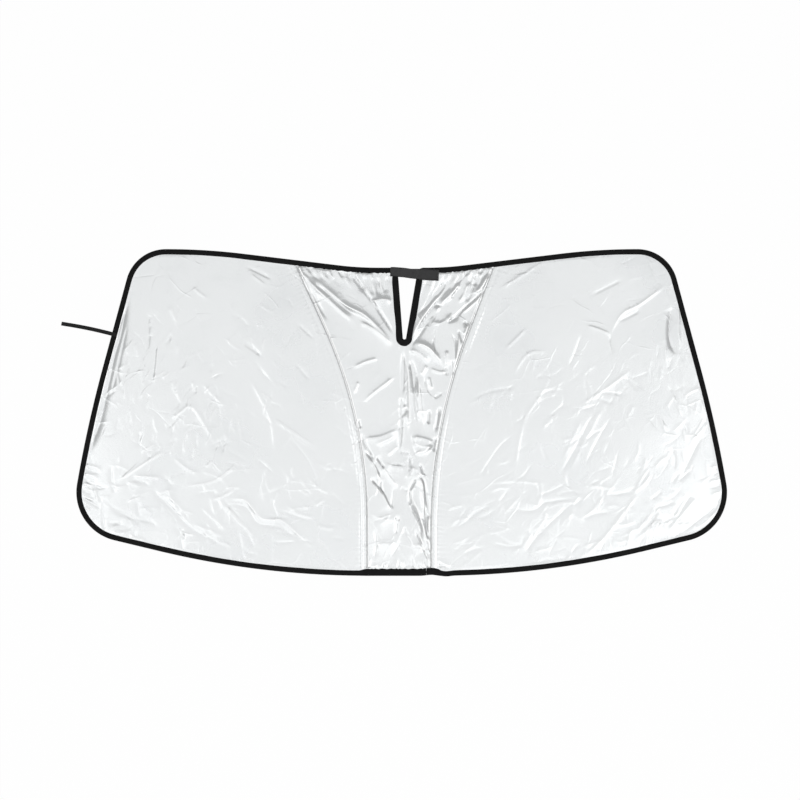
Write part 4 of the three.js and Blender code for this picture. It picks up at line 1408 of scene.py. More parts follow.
@dataclass(frozen=True)
class Nap:
    """Brushed loops or hooks on a dark backing, painted lighter on the tops of the tufts and darker between
    them.
    """

    name: str
    deep: Colour
    # Colour of the painted highlight on tuft tops
    tuft_top_highlight: Colour
    clump: float = 900.0
    height: float = 0.0006

    def material(self, groups: Groups) -> Material:
        """Builds the material."""
        material, desk, shader = blank(self.name)
        place = desk.add("ShaderNodeTexCoord").outputs["Object"]
        tufts = desk.add("ShaderNodeTexVoronoi", {"Vector": place, "Scale": self.clump, "Randomness": 0.9})
        fibres = desk.noise(place, 3 * self.clump, 3.0, 0.65)
        matted = desk.noise(place, 160.0, 3.0, 0.6)
        rise = desk.sum_of("SUBTRACT", 1.0, tufts.outputs["Distance"])
        pile = desk.sum_of("MULTIPLY_ADD", fibres, 0.6, rise)
        # Painted highlight and shade: tuft tops lighter, hollows darker, broken up by random matting
        shade = desk.sum_of("MULTIPLY", desk.ramp(pile, 0.7, 1.4), desk.ramp(matted, 0.2, 0.75, (0.35, 1.0)))
        wear = desk.group(groups.wear, Vector=place)
        looks = {
            "Base Color": mixed(desk, shade, self.deep, self.tuft_top_highlight),
            "Roughness": desk.ramp(wear.outputs["Mask"], 0.0, 1.0, (0.78, 0.95)),
            "Normal": bumped(desk, pile, self.height, 0.8),
            "Sheen Weight": 0.5,
            "Sheen Roughness": 0.6,
        }
        desk.feed(shader, looks)
        return material


@dataclass(frozen=True)
class Steel:
    """Drawn or crimped steel with fine marks and a little tarnish."""

    name: str
    bright: Colour = (0.62, 0.63, 0.65)
    dark: Colour = (0.36, 0.35, 0.34)
    marks: float = 1800.0

    def material(self, groups: Groups) -> Material:
        """Builds the material."""
        material, desk, shader = blank(self.name)
        place = desk.add("ShaderNodeTexCoord").outputs["Object"]
        wear = desk.group(groups.wear, Vector=place, Cloud=40.0)
        looks = {
            "Base Color": mixed(desk, wear.outputs["Mask"], self.bright, self.dark),
            "Roughness": desk.ramp(wear.outputs["Mask"], 0.0, 1.0, (0.28, 0.5)),
            "Normal": bumped(desk, desk.noise(place, self.marks, 2.0), 0.00003),
            "Metallic": 1.0,
        }
        desk.feed(shader, looks)
        return material


def blank(name: str) -> tuple[Material, Desk, Node]:
    """A new material, the desk of its tree and its one shader."""
    material = bpy.data.materials.new(name)
    material.use_nodes = True
    material.node_tree.nodes.clear()
    desk = Desk(material.node_tree)
    shader = desk.add("ShaderNodeBsdfPrincipled")
    desk.add("ShaderNodeOutputMaterial", {"Surface": shader.outputs[0]})
    return material, desk, shader


@dataclass
class Finishes:
    """Every material of the shade."""

    groups: Groups

    def __post_init__(self) -> None:
        """Builds them all."""
        groups = self.groups
        self.silver = Taffeta().material(groups)
        self.lining = Taffeta(name="casing taffeta", dull=(0.78, 0.8, 0.81)).material(groups)
        self.tape = Webbing(
            "binding tape", (0.0022, 0.0022, 0.0022), (0.013, 0.013, 0.0135), sheen=0.06, specular=0.16
        ).material(groups)
        self.elastic = Webbing(
            "ribbed elastic", (0.005, 0.005, 0.005), (0.03, 0.03, 0.031), rib_pitch=0.0013, rib_height=0.00012
        ).material(groups)
        self.gather_elastic = Webbing(
            "gathering elastic", (0.006, 0.006, 0.006), (0.035, 0.035, 0.035), grain=Grain.PLACE
        ).material(groups)
        self.black_thread = Webbing(
            "black thread", (0.006, 0.006, 0.006), (0.04, 0.04, 0.042), 0.0005, grain=Grain.PLACE, sheen=0.1
        ).material(groups)
        self.silver_thread = Webbing(
            "silver grey thread", (0.66, 0.67, 0.68), (0.86, 0.87, 0.88), 0.0005, grain=Grain.PLACE, sheen=0.1
        ).material(groups)
        self.loop_side = Nap("loop tape", (0.012, 0.012, 0.013), (0.062, 0.063, 0.066)).material(groups)
        hooks = Nap("hook tape", (0.008, 0.008, 0.009), (0.045, 0.045, 0.047), clump=650.0)
        self.hook_side = hooks.material(groups)
        self.spring = Steel("spring steel").material(groups)
        self.crimp = Steel("crimped steel", (0.7, 0.7, 0.69), (0.42, 0.42, 0.41), 900.0).material(groups)


def dress(piece: Piece, material: Material) -> None:
    """Gives a piece its one material."""
    piece.data.materials.clear()
    piece.data.materials.append(material)


def declare(piece: Piece, node: str | None = None) -> None:
    """Attaches a piece to the root body and hides the frame's node that it replaces, if any."""
    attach(piece, "root")
    if node:
        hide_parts(node)


# Stitches


@dataclass(frozen=True)
class StitchRows:
    """Lockstitch along lines, each stitch a small capsule of thread."""

    name: str
    pitch: float = 3.6
    length: float = 2.9
    thread: float = 0.42
    wander: float = 0.12
    seed: int = 5

    def tree(self, material: Material) -> tuple[Tree, dict[str, str]]:
        """Builds the node tree.

        Args:
            material: the thread's material.

        Returns:
            The tree, and the identifier of each named input.
        """
        tree = bpy.data.node_groups.new(f"{self.name} tree", "GeometryNodeTree")
        face = tree.interface
        face.new_socket("Lines", in_out="INPUT", socket_type="NodeSocketGeometry")
        keys = {}
        for key in ("Pitch", "Length", "Thread", "Wander"):
            keys[key] = face.new_socket(key, in_out="INPUT", socket_type="NodeSocketFloat").identifier
        face.new_socket("Stitches", in_out="OUTPUT", socket_type="NodeSocketGeometry")
        desk = Desk(tree)
        given = desk.add("NodeGroupInput").outputs
        curve = desk.add("GeometryNodeMeshToCurve", {0: given["Lines"]}).outputs[0]
        stepped = {"Curve": curve, "Length": given["Pitch"]}
        points = desk.add("GeometryNodeCurveToPoints", stepped, mode="LENGTH")
        along = {"Vector": points.outputs["Tangent"]}
        turned = desk.add("FunctionNodeAlignRotationToVector", along, axis="X")
        scale = desk.add("ShaderNodeCombineXYZ", {0: given["Length"], 1: given["Thread"], 2: given["Thread"]})
        ball = desk.add("GeometryNodeMeshUVSphere", {"Segments": 6, "Rings": 4, "Radius": 0.5}).outputs[0]
        capsule = desk.add("GeometryNodeTransform", {"Geometry": ball, "Scale": scale.outputs[0]}).outputs[0]
        low = desk.vector("SCALE", {0: (-1.0, -1.0, 0.0), "Scale": given["Wander"]})
        high = desk.vector("SCALE", {0: (1.0, 1.0, 0.0), "Scale": given["Wander"]})
        spread_by = {0: low, 1: high, "Seed": self.seed}
        shift = desk.add("FunctionNodeRandomValue", spread_by, data_type="FLOAT_VECTOR").outputs[0]
        shifted = {"Geometry": points.outputs["Points"], "Offset": shift}
        moved = desk.add("GeometryNodeSetPosition", shifted).outputs[0]
        made = {"Points": moved, "Instance": capsule, "Rotation": turned.outputs[0]}
        rows = desk.add("GeometryNodeInstanceOnPoints", made).outputs[0]
        real = desk.add("GeometryNodeRealizeInstances", {0: rows}).outputs[0]
        even = desk.add("GeometryNodeSetShadeSmooth", {"Geometry": real}).outputs[0]
        dressed = desk.add("GeometryNodeSetMaterial", {"Geometry": even, "Material": material}).outputs[0]
        desk.add("NodeGroupOutput", {0: dressed})
        return tree, keys

    def build(self, rows: list[Array], material: Material) -> Piece:
        """Makes the stitches.

        Args:
            rows: the lines to sew, each of points in millimetres.
            material: the thread's material.

        Returns:
            The stitches as one plain mesh.
        """
        places = np.concatenate(rows) * MM
        starts = np.cumsum([0] + [len(r) for r in rows])
        edges = [(i, i + 1) for a, b in zip(starts[:-1], starts[1:]) for i in range(a, b - 1)]
        guide_mesh = bpy.data.meshes.new(f"{self.name} lines")
        guide_mesh.from_pydata(places.tolist(), edges, [])
        guide = bpy.data.objects.new(f"{self.name} lines", guide_mesh)
        bpy.context.scene.collection.objects.link(guide)
        tree, keys = self.tree(material)
        modifier = guide.modifiers.new("stitches", "NODES")
        modifier.node_group = tree
        sizes = {"Pitch": self.pitch, "Length": self.length, "Thread": self.thread, "Wander": self.wander}
        for key, value in sizes.items():
            modifier[keys[key]] = value * MM
        graph = bpy.context.evaluated_depsgraph_get()
        mesh = bpy.data.meshes.new_from_object(guide.evaluated_get(graph), depsgraph=graph)
        guide.modifiers.remove(modifier)
        bpy.data.objects.remove(guide)
        mesh.name = self.name
        piece = bpy.data.objects.new(self.name, mesh)
        bpy.context.scene.collection.objects.link(piece)
        return piece


# Creases, the large ones as on the shade and the small ones scattered


def folds(height: float, width: float, lean: float, *ways: tuple[Pair, ...]) -> tuple[Crease, ...]:
    """Creases of one height, width and lean along several lines."""
    return tuple(Crease(way, height, width, lean) for way in ways)


LEFT_CREASES = (
    *folds(-5.2, 5.0, 0.3, ((-608, 648), (-616, 618), (-632, 532), (-648, 476), (-680, 330), (-704, 250))),
    *folds(1, 2.5, 0.0, ((-624, 640), (-646, 532), (-664, 470), (-694, 340), (-716, 250))),
    *folds(-1, 2.3, 0.4, ((-612, 560), (-636, 452), (-652, 392)), ((-567, 585), (-565, 504))),
    *folds(0.96, 2.3, 0.3, ((-543, 520), (-548, 465), (-554, 410)), ((-447, 426), (-420, 396), (-392, 369))),
    *folds(1.1, 2.5, -0.3, ((-346, 446), (-315, 392), (-290, 335), (-281, 256)), ((-292, 348), (-188, 280))),
    *folds(
        -0.96, 2.1, 0.3, ((-260, 312), (-226, 272), (-200, 230), (-184, 172)), ((-240, 470), (-205, 430)),
    ),
    *folds(1.1, 2.5, 0.4, ((-535, 325), (-503, 352), (-470, 371), (-440, 330), (-411, 278))),
    *folds(
        -0.88, 2.1, -0.3, ((-410, 300), (-398, 270)), ((-380, 296), (-424, 276)),
        ((-396, 312), (-402, 262)),
    ),
    *folds(1.4, 2.5, 0.4, ((-640, 200), (-585, 238), (-520, 279)), ((-600, 217), (-535, 212))),
    *folds(1.1, 2.5, -0.4, ((-495, 193), (-417, 208), (-355, 256)), ((-412, 170), (-370, 124), (-322, 74))),
    *folds(
        1.6, 2.5, 0.45,
        ((-410, 167), (-375, 166), (-348, 161), (-317, 125), (-290, 118), (-263, 114), (-192, 48)),
    ),
    *folds(-1.1, 2.3, 0.0, ((-402, 152), (-350, 147), (-322, 110), (-268, 100), (-215, 56))),
    *folds(-1.4, 2.5, -0.4, ((-564, 192), (-520, 150), (-472, 101), (-430, 78), (-386, 56))),
    *folds(-1, 3, 0.3, ((-650, 140), (-600, 122), (-548, 112)), ((-640, 80), (-590, 62), (-530, 58))),
    *folds(-1, 2.1, 0.2, ((-352, 688), (-286, 655)), ((-360, 518), (-308, 482)), ((-236, 560), (-194, 521))),
    *folds(
        0.79, 2.1, -0.2, ((-340, 670), (-300, 640)), ((-470, 640), (-430, 610)), ((-520, 600), (-500, 556)),
    ),
    *folds(
        -0.79, 2.1, 0.0, ((-168, 250), (-140, 214)), ((-160, 180), (-128, 150)), ((-150, 330), (-118, 300)),
    ),
    *folds(1, 2, 0.0, ((-722, 246), (-668, 232)), ((-727, 226), (-675, 214)), ((-730, 205), (-682, 193))),
    *folds(
        -0.96, 2, 0.0, ((-724, 236), (-672, 222)), ((-729, 215), (-680, 204)), ((-732, 192), (-690, 176)),
    ),
    *folds(0.96, 2, 0.0, ((-733, 178), (-680, 160)), ((-734, 158), (-694, 140)), ((-716, 290), (-690, 284))),
)

LEFT_CRUMPLES = (
    Crumple((-655, 230), (-406, 525), 84, 0.85, 1.8, 60.0, 21, 62.0, 90.0),
    Crumple((-700, 40), (-140, 240), 80, 1.1, 2.0, 85.0, 22, 150.0, 120.0),
    Crumple((-700, 30), (-560, 210), 22, 1.2, 2.4, 70.0, 25, 165.0, 50.0),
    Crumple((-600, 500), (-250, 690), 12, 0.21, 2.0, 70.0, 23, 100.0, 120.0),
    Crumple((-400, 230), (-110, 620), 56, 0.7, 1.8, 70.0, 24, 110.0, 100.0),
)

RIGHT_CREASES = (
    *folds(-1.8, 2.4, 0.0, ((72, 25), (86, 17), (104, 8))),
    *folds(1.4, 2.6, 0.0, ((74, 32), (92, 23), (112, 13))),
    *folds(-0.84, 2.3, 0.3, ((420, 618), (462, 640), (500, 658)), ((580, 700), (615, 651))),
    *folds(
        1.2, 2.5, 0.4, ((462, 530), (493, 579), (533, 601), (596, 648)),
        ((470, 532), (440, 545), (406, 555)),
    ),
    *folds(
        -0.94, 2.1, 0.0, ((466, 534), (474, 488)), ((403, 536), (390, 496), (372, 456)),
        ((482, 560), (540, 590)),
    ),
    *folds(1, 2.3, -0.3, ((228, 497), (282, 550)), ((246, 440), (282, 490), (332, 495))),
    *folds(-0.84, 2.3, 0.3, ((154, 388), (197, 405), (264, 417)), ((254, 312), (218, 280), (170, 210))),
    *folds(
        1, 2.5, 0.35, ((336, 462), (314, 405), (271, 335), (248, 204)),
        ((518, 460), (466, 420), (388, 368)),
    ),
    *folds(-0.84, 2.1, 0.0, ((434, 406), (508, 397)), ((430, 392), (476, 378)), ((500, 440), (530, 405))),
    *folds(
        0.69, 2.5, 0.4, ((456, 382), (430, 335), (408, 295), (372, 220)),
        ((404, 350), (384, 306), (358, 250)),
    ),
    *folds(
        -1, 2.3, 0.2, ((438, 372), (412, 325), (386, 275), (352, 214)),
        ((470, 350), (440, 300), (410, 240)),
    ),
    *folds(
        0.75, 2.3, 0.0, ((192, 202), (260, 206), (328, 198)), ((402, 197), (482, 189)),
        ((380, 300), (358, 296)),
    ),
    *folds(
        -1, 2.5, 0.4, ((232, 143), (294, 139), (323, 157), (398, 166)), ((262, 30), (323, 101), (392, 164)),
    ),
    *folds(1, 2.5, -0.3, ((398, 31), (452, 80), (532, 184)), ((594, 92), (662, 174))),
    *folds(-1, 3.5, 0.3, ((620, 86), (668, 122), (716, 164)), ((622, 208), (645, 255), (670, 306))),
    *folds(-3.2, 4.1, 0.2, ((606, 602), (598, 556), (600, 514), (616, 484)), ((640, 560), (654, 470))),
    *folds(0.84, 2.5, 0.0, ((622, 606), (618, 552), (622, 500)), ((207, 628), (264, 662), (320, 698))),
    *folds(0.84, 2, 0.0, ((726, 210), (684, 204)), ((729, 186), (690, 176)), ((724, 240), (690, 238))),
    *folds(-0.84, 2, 0.0, ((728, 198), (688, 190)), ((726, 224), (694, 222)), ((730, 172), (694, 158))),
)

RIGHT_CRUMPLES = (
    Crumple((150, 130), (420, 480), 64, 0.65, 1.9, 75.0, 31, 60.0, 110.0),
    Crumple((380, 180), (690, 470), 66, 0.68, 1.9, 70.0, 32, 70.0, 120.0),
    Crumple((120, 20), (690, 200), 72, 0.8, 2.1, 85.0, 33, 25.0, 110.0),
    Crumple((530, 40), (710, 230), 22, 1.2, 2.6, 80.0, 36, 40.0, 50.0),
    Crumple((260, 470), (650, 700), 26, 0.29, 1.8, 65.0, 34, 40.0, 120.0),
    Crumple((540, 425), (640, 500), 15, 0.53, 1.5, 40.0, 35, 100.0, 60.0),
)

GUSSET_CREASES = (
    *folds(-2.4, 4.5, 0.2, ((-230, 680), (-213, 640), (-197, 618), (-178, 586), (-161, 560))),
    *folds(3.2, 5.4, 0.2, ((-224, 674), (-197, 642), (-165, 612), (-126, 577), (-96, 556))),
    *folds(3.8, 6.0, 0.2, ((-199, 662), (-165, 631), (-126, 599), (-81, 575), (-36, 531), (-14, 508))),
    *folds(
        -1.9, 2.9, 0.0, ((-204, 652), (-155, 618), (-126, 592), (-96, 569)),
        ((-112, 668), (-104, 659), (-81, 627)),
    ),
    *folds(-2.6, 2.9, 0.3, ((-106, 662), (-81, 627), (-62, 602), (-36, 563), (-12, 524))),
    *folds(1.8, 5.0, 0.0, ((-88, 650), (-72, 622), (-46, 588)), ((-72, 618), (-46, 612), (-22, 608))),
    *folds(-1.4, 2.9, 0.0, ((-68, 662), (-68, 640), (-64, 620)), ((-52, 662), (-53, 640), (-52, 618))),
    *folds(-1.4, 2.9, 0.0, ((-32, 664), (-34, 644), (-34, 624)), ((-72, 618), (-40, 610), (-24, 610))),
    *folds(-2.4, 3.6, 0.3, ((104, 658), (76, 624), (50, 592), (32, 574)), ((96, 650), (70, 618))),
    *folds(
        2.6, 4.6, -0.3, ((106, 640), (73, 605), (44, 566), (18, 518)), ((126, 640), (96, 610), (70, 574)),
    ),
    *folds(-2, 2.9, 0.0, ((118, 652), (79, 608), (54, 573), (28, 531)), ((66, 572), (44, 538), (20, 506))),
    *folds(-1.6, 2.9, 0.0, ((156, 664), (156, 628), (140, 598)), ((182, 669), (176, 650), (168, 630))),
    *folds(
        -2.7, 3.3, 0.3, ((208, 686), (192, 647), (169, 618), (143, 595), (100, 555)),
        ((166, 669), (162, 640)),
    ),
    *folds(
        2.8, 4.4, -0.3, ((220, 682), (188, 631), (156, 599), (112, 562)),
        ((196, 668), (178, 640), (160, 622)),
    ),
    *folds(2.2, 4.0, 0.0, ((148, 656), (140, 624), (122, 598)), ((132, 650), (112, 620), (92, 602))),
    *folds(
        -1.9, 2.9, 0.0, ((140, 588), (121, 570), (92, 556)), ((128, 640), (110, 612)),
        ((72, 600), (92, 596)),
    ),
    *folds(-1.6, 2.9, 0.0, ((76, 552), (74, 520), (75, 480)), ((106, 545), (118, 512), (121, 460))),
    *folds(-1.9, 2.9, 0.2, ((126, 546), (137, 512)), ((139, 564), (146, 550)), ((112, 480), (116, 440))),
    *folds(
        2.2, 4.0, 0.0, ((132, 540), (126, 500), (118, 460)), ((150, 560), (140, 530)),
        ((100, 500), (104, 460)),
    ),
    *folds(2.8, 6.0, 0.3, ((30, 516), (60, 504), (84, 478), (92, 456)), ((14, 500), (40, 490), (62, 470))),
    *folds(
        -2.4, 2.9, 0.0, ((3, 504), (2, 453), (2, 401), (-3, 392)),
        ((-4, 398), (-1, 358), (-2, 316), (-5, 262)),
    ),
    *folds(
        -2.1, 4.2, 0.3, ((12, 500), (21, 470), (26, 436), (31, 367), (40, 306)),
        ((18, 478), (26, 440), (28, 400)),
    ),
    *folds(1.6, 3.0, 0.0, ((8, 492), (13, 460), (16, 420), (18, 300)), ((36, 450), (42, 380), (48, 320))),
    *folds(-1.4, 2.9, 0.0, ((-3, 393), (7, 370)), ((11, 369), (3, 350)), ((-7, 271), (6, 269), (18, 266))),
    *folds(
        2.0, 3.4, 0.4, ((-114, 455), (-82, 471), (-46, 481)),
        ((-92, 377), (-66, 400), (-44, 417), (-10, 443)),
    ),
    *folds(
        1.6, 3.0, 0.3, ((-60, 285), (-36, 296), (-12, 307)), ((-34, 262), (-8, 284)),
        ((-96, 430), (-108, 400)),
    ),
    *folds(-2, 2.9, 0.0, ((-87, 318), (-85, 294), (-70, 264), (-62, 250)), ((-96, 345), (-92, 322))),
    *folds(
        1.8, 3.2, 0.0, ((42, 440), (57, 466)), ((60, 440), (66, 408)), ((60, 458), (84, 449), (104, 450)),
    ),
    *folds(
        -1.4, 2.9, 0.0, ((52, 442), (58, 410), (72, 392)), ((72, 390), (90, 402)), ((99, 462), (99, 440)),
    ),
    *folds(
        -2.4, 2.9, 0.0, ((84, 376), (80, 341), (74, 308)), ((82, 306), (74, 292), (72, 268)),
        ((64, 366), (60, 330)),
    ),
    *folds(2.0, 4.0, 0.3, ((24, 292), (44, 284), (70, 280)), ((28, 268), (50, 272), (70, 288))),
    *folds(-2.6, 2.9, 0.3, ((-84, 276), (-63, 248), (-53, 229), (-43, 206)), ((-58, 262), (-38, 232))),
    *folds(
        -2.7, 2.9, 0.3, ((-43, 212), (-46, 190), (-36, 173), (-20, 140)),
        ((-70, 213), (-51, 192), (-38, 176)),
    ),
    *folds(2.2, 4.4, 0.0, ((-70, 262), (-56, 232), (-50, 208)), ((-44, 240), (-26, 212), (-6, 190))),
    *folds(
        -1.6, 2.9, 0.0, ((-66, 115), (-40, 122), (-20, 129), (0, 131)), ((-16, 122), (-3, 118)),
        ((-8, 116), (-13, 84)),
    ),
    *folds(
        -1.6, 2.9, 0.0, ((-28, 243), (-6, 242), (16, 238)), ((18, 266), (16, 240), (16, 214)),
        ((-3, 190), (15, 182)),
    ),
    *folds(
        -2.4, 2.9, 0.0, ((33, 212), (15, 182)), ((41, 246), (53, 214)), ((-12, 192), (-21, 140)),
        ((16, 190), (20, 150)),
    ),
    *folds(-2.7, 2.9, 0.2, ((28, 244), (39, 219), (49, 204), (53, 175), (58, 144), (68, 126))),
    *folds(-2.7, 2.9, 0.2, ((50, 156), (54, 102), (59, 70)), ((14, 170), (28, 134), (41, 106), (48, 66))),
    *folds(
        2.6, 4.0, -0.2, ((34, 230), (46, 200), (48, 170), (50, 120)),
        ((20, 176), (34, 146), (46, 110), (60, 60)),
    ),
    *folds(-2.4, 2.9, 0.0, ((28, 101), (46, 56), (60, 22)), ((44, 72), (62, 30)), ((60, 54), (71, 26))),
    *folds(2.2, 3.4, 0.0, ((38, 92), (54, 46), (62, 24)), ((58, 84), (66, 44)), ((62, 130), (60, 90))),
    *folds(
        -1.2, 2.9, 0.0, ((0, 72), (-15, 47), (-26, 42)), ((4, 104), (16, 82)),
        ((-60, 100), (-56, 60), (-62, 30)),
    ),
    *folds(
        2.9, 10.0, -0.55, ((-72, 204), (-54, 194), (-36, 170), (-18, 136)),
        ((-62, 117), (-24, 129), (2, 131)),
    ),
    *folds(2.8, 11.0, -0.45, ((-92, 300), (-48, 304), (-2, 324)), ((18, 304), (48, 300), (76, 290))),
    *folds(3.2, 9.0, -0.6, ((-70, 606), (-46, 612), (-20, 609)), ((-100, 566), (-58, 542), (-16, 506))),
    *folds(2.4, 9.0, -0.5, ((26, 518), (60, 504), (88, 470)), ((18, 236), (34, 230), (46, 214))),
    *folds(2.2, 9.0, -0.4, ((-52, 244), (-20, 240), (14, 236)), ((20, 60), (40, 62), (52, 50))),
    *folds(2.2, 9.0, -0.4, ((-62, 60), (-40, 66), (-10, 62)), ((60, 560), (92, 560), (112, 580))),
)

GUSSET_CRUMPLES = (
    Crumple((-70, 20), (60, 320), 22, 0.8, 2.2, 60.0, 41, 100.0, 130.0),
    Crumple((-130, 330), (120, 500), 12, 0.6, 2.2, 60.0, 42, 80.0, 120.0),
    Crumple((-210, 540), (-40, 670), 7, 0.7, 2.2, 60.0, 43, 130.0, 40.0),
    Crumple((40, 520), (190, 670), 14, 1.0, 2.2, 60.0, 44, 55.0, 40.0),
)


# Sub-assemblies


def seam_rows(seam: Seam, heights: object) -> list[Array]:
    """The two lines of stitches beside a seam, above and below.

    Args:
        seam: the seam.
        heights: gives the cloth's height at points in plan.

    Returns:
        The lines in space.
    """
    edge = OUTLINE.fold(3.0).offset(LAYERS.binding_width + 0.6)
    rows = []
    for inset in (-LAYERS.row_away, LAYERS.row_away):
        plan = spread(seam.inside(OUTLINE, inset, edge), 420)
        above = heights(plan) + LAYERS.cloth / 2 + 0.06
        below = np.full(len(plan), LAYERS.casing_z - LAYERS.cloth / 2 - 0.1)
        rows += [np.column_stack([plan, above]), np.column_stack([plan, below])]
    return rows


@dataclass
class SilverFace:
    """The two panels and the gathered gusset, sewn together over the wires' casings."""

    panel_cut: Pair = (0.665, 0.735)
    gusset_cut: Pair = (0.47, 0.70)
    gusset_fullness: float = 1.3

    def build(self, finishes: Finishes) -> Pieces:
        """Args:
            finishes: the shade's materials.

        Returns:
            The pieces by name.
        """
        made: Pieces = {}
        panels = (
            Panel(Side.LEFT, LEFT_SEAM, LEFT_CREASES, LEFT_CRUMPLES),
            Panel(Side.RIGHT, RIGHT_SEAM, RIGHT_CREASES, RIGHT_CRUMPLES),
        )
        rows: list[Array] = []
        for panel in panels:
            side = panel.side.value
            piece = panel.build()
            dress(piece, finishes.silver)
            declare(piece, f"{side}_panel")
            casing = Casing(panel.side, panel.seam).build()
            dress(casing, finishes.lining)
            declare(casing, f"{side}_casing")
            area = panel.net().area()
            rows += seam_rows(panel.seam, panel.heights)
            made[piece.name], made[casing.name] = piece, casing
        stitches = StitchRows("seam_stitches", thread=0.36, wander=0.2, seed=6)
        seams = stitches.build(rows, finishes.silver_thread)
        declare(seams)
        made[seams.name] = seams
        gusset = Gusset(GUSSET_CREASES, GUSSET_CRUMPLES)
        cloth = gusset.build()
        dress(cloth, finishes.silver)
        declare(cloth, "centre_gusset")
        area = self.gusset_fullness * gusset.net().area()
        made[cloth.name] = cloth
        return made


@dataclass
class Border:
    """The edge tape with its stitches, and the wires and elastics inside it."""

    def build(self, finishes: Finishes, nodes: Pieces) -> Pieces:
        """Makes the tape and its stitches, and dresses what they hold.

        Args:
            finishes: the shade's materials.
            nodes: the frame's own objects by name.

        Returns:
            The pieces by name.
        """
        binding = EdgeBinding()
        tape = binding.build()
        dress(tape, finishes.tape)
        declare(tape, "edge_binding")
        stitches = StitchRows("tape_stitches", seed=8).build(binding.rows(), finishes.black_thread)
        declare(stitches)
        for side in Side:
            dress(nodes[f"{side.value}_hoop"], finishes.spring)
            dress(nodes[f"{side.value}_ferrule"], finishes.crimp)
            dress(nodes[f"{side.value}_roof_elastic"], finishes.gather_elastic)
        dress(nodes["dash_elastic"], finishes.gather_elastic)
        return {tape.name: tape, stitches.name: stitches}


@dataclass(frozen=True)
class MirrorStrap:
    """The strap over the notch's mouth: sewn down on the left, closed by hook and loop on the right."""

    left_x: float = -25.5
    below_edge: float = 2.5
    slope: float = -0.057
    length: float = 107.0
    width: float = 25.0
    thickness: float = 1.2
    sewn_z: float = 4.9
    hook_z: float = 6.4
    closed_z: float = 7.9
    step_from: float = 51.7
    step_to: float = 65.7
    patch_from: float = 66.0
    patch_width: float = 25.0
    patch_shift: float = 2.6
    waist: tuple[Triple, ...] = (
        (0.0, 19.6, 0.4),
        (8.0, 20.6, 0.4),
        (30.0, 20.6, 0.8),
        (46.0, 20.8, 2.2),
        (62.0, 22.2, 2.3),
        (72.0, 23.8, 2.5),
        (98.0, 23.8, 2.5),
        (106.0, 21.0, 1.8),
        (107.0, 19.5, 1.4),
    )

    def band(self, name: str, start: float, end: float, z: float, width: float, seed: int) -> Band:
        """A level layer of the closure between two distances along the strap."""
        angle = math.atan(self.slope)
        view = np.array([[start, z + self.thickness / 2], [end, z + self.thickness / 2]])
        waist = ((0.0, width, self.patch_shift), (self.length + 2.0, width, self.patch_shift))
        return Band(name, self.origin(), angle, view, width, self.thickness, 0.0, 0.012, 1.0, seed, waist)

    def build(self, finishes: Finishes) -> Pieces:
        """Makes the strap, its two patches and the stitches that hold them."""
        s = np.linspace(0.2, self.length - 0.2, 120)
        flat = self.band("mirror_strap_tape", 0.2, self.length - 0.2, self.sewn_z, self.width, 4)
        strap = replace(flat, side_view=np.column_stack([s, self.height(s)]), waist=self.waist).build()
        loops = self.band("loop_patch", self.patch_from, self.length + 1.5, self.sewn_z, self.patch_width, 5)
        hooks = self.band("hook_patch", self.patch_from + 0.3, self.length + 0.6, self.hook_z, self.width, 6)
        under, upper = loops.build(), hooks.build()
        for piece, node, finish, slot in (
            (strap, "mirror_strap", finishes.loop_side, "strap_tape"),
            (under, "strap_loop_patch", finishes.loop_side, "hook_and_loop"),
            (upper, "strap_hook_patch", finishes.hook_side, "hook_and_loop"),
        ):
            dress(piece, finish)
            declare(piece, node)
        sewn = StitchRows("strap_stitches", pitch=3.0, length=2.4, seed=9)
        edging = StitchRows("strap_edging", 1.1, 2.0, 1.5, 0.1, seed=10)
        thread = finishes.black_thread
        threads = (sewn.build(self.rows(), thread), edging.build(self.edges(), thread))
        for piece in threads:
            declare(piece)
        return {piece.name: piece for piece in (strap, under, upper, *threads)}

    def height(self, s: Array) -> Array:
        """The height of the strap's middle at distances along it."""
        lift = smooth((s - self.step_from) / (self.step_to - self.step_from))
        return self.sewn_z + self.thickness / 2 + (self.closed_z - self.sewn_z) * lift

    def rows(self) -> list[Array]:
        """A box of stitches with a cross in it at the sewn end, and a row round the closed end."""
        low, high, half = 2.5, 22.0, 8.0
        box = [(low, -half), (high, -half), (high, half), (low, half), (low, -half), (high, half)]
        start, end, top, foot = self.patch_from + 2.5, self.length - 3.5, -7.0, 11.5
        closed = [(start, foot), (end, foot), (end, top), (start, top), (start, foot)]
        return [
            self.laid(box, self.sewn_z + self.thickness),
            self.laid([(high, -half), (low, half)], self.sewn_z + self.thickness),
            self.laid(closed, self.closed_z + self.thickness),
        ]

    def edges(self) -> list[Array]:
        """The strap's two long edges, for the thread that binds them."""
        where, widths, shifts = np.array(self.waist).T
        s = np.linspace(1.0, self.length - 1.0, 160)
        width, shift = np.interp(s, where, widths), np.interp(s, where, shifts)
        lines = [np.column_stack([s, shift + k * (width / 2 - 0.2)]) for k in (-1, 1)]
        return [np.column_stack([self.placed(line), self.height(s) + 0.35]) for line in lines]

    def origin(self) -> Pair:
        """The middle of the strap's left end in plan."""
        return self.left_x, OUTLINE.roof_y - LAYERS.binding_width / 2 - self.below_edge

    def placed(self, line: Array) -> Array:
        """Points given along the strap and down across it, in plan."""
        start = self.origin()
        angle = math.atan(self.slope)
        cos, sin = math.cos(angle), math.sin(angle)
        x = start[0] + line[:, 0] * cos + line[:, 1] * sin
        y = start[1] + line[:, 0] * sin - line[:, 1] * cos
        return np.column_stack([x, y])

    def laid(self, corners: list[Pair], z: float) -> Array:
        """A line of stitches on the strap at height z."""
        line = self.placed(spread(np.array(corners, float), 40 * (len(corners) - 1)))
        return np.column_stack([line, np.full(len(line), z)])


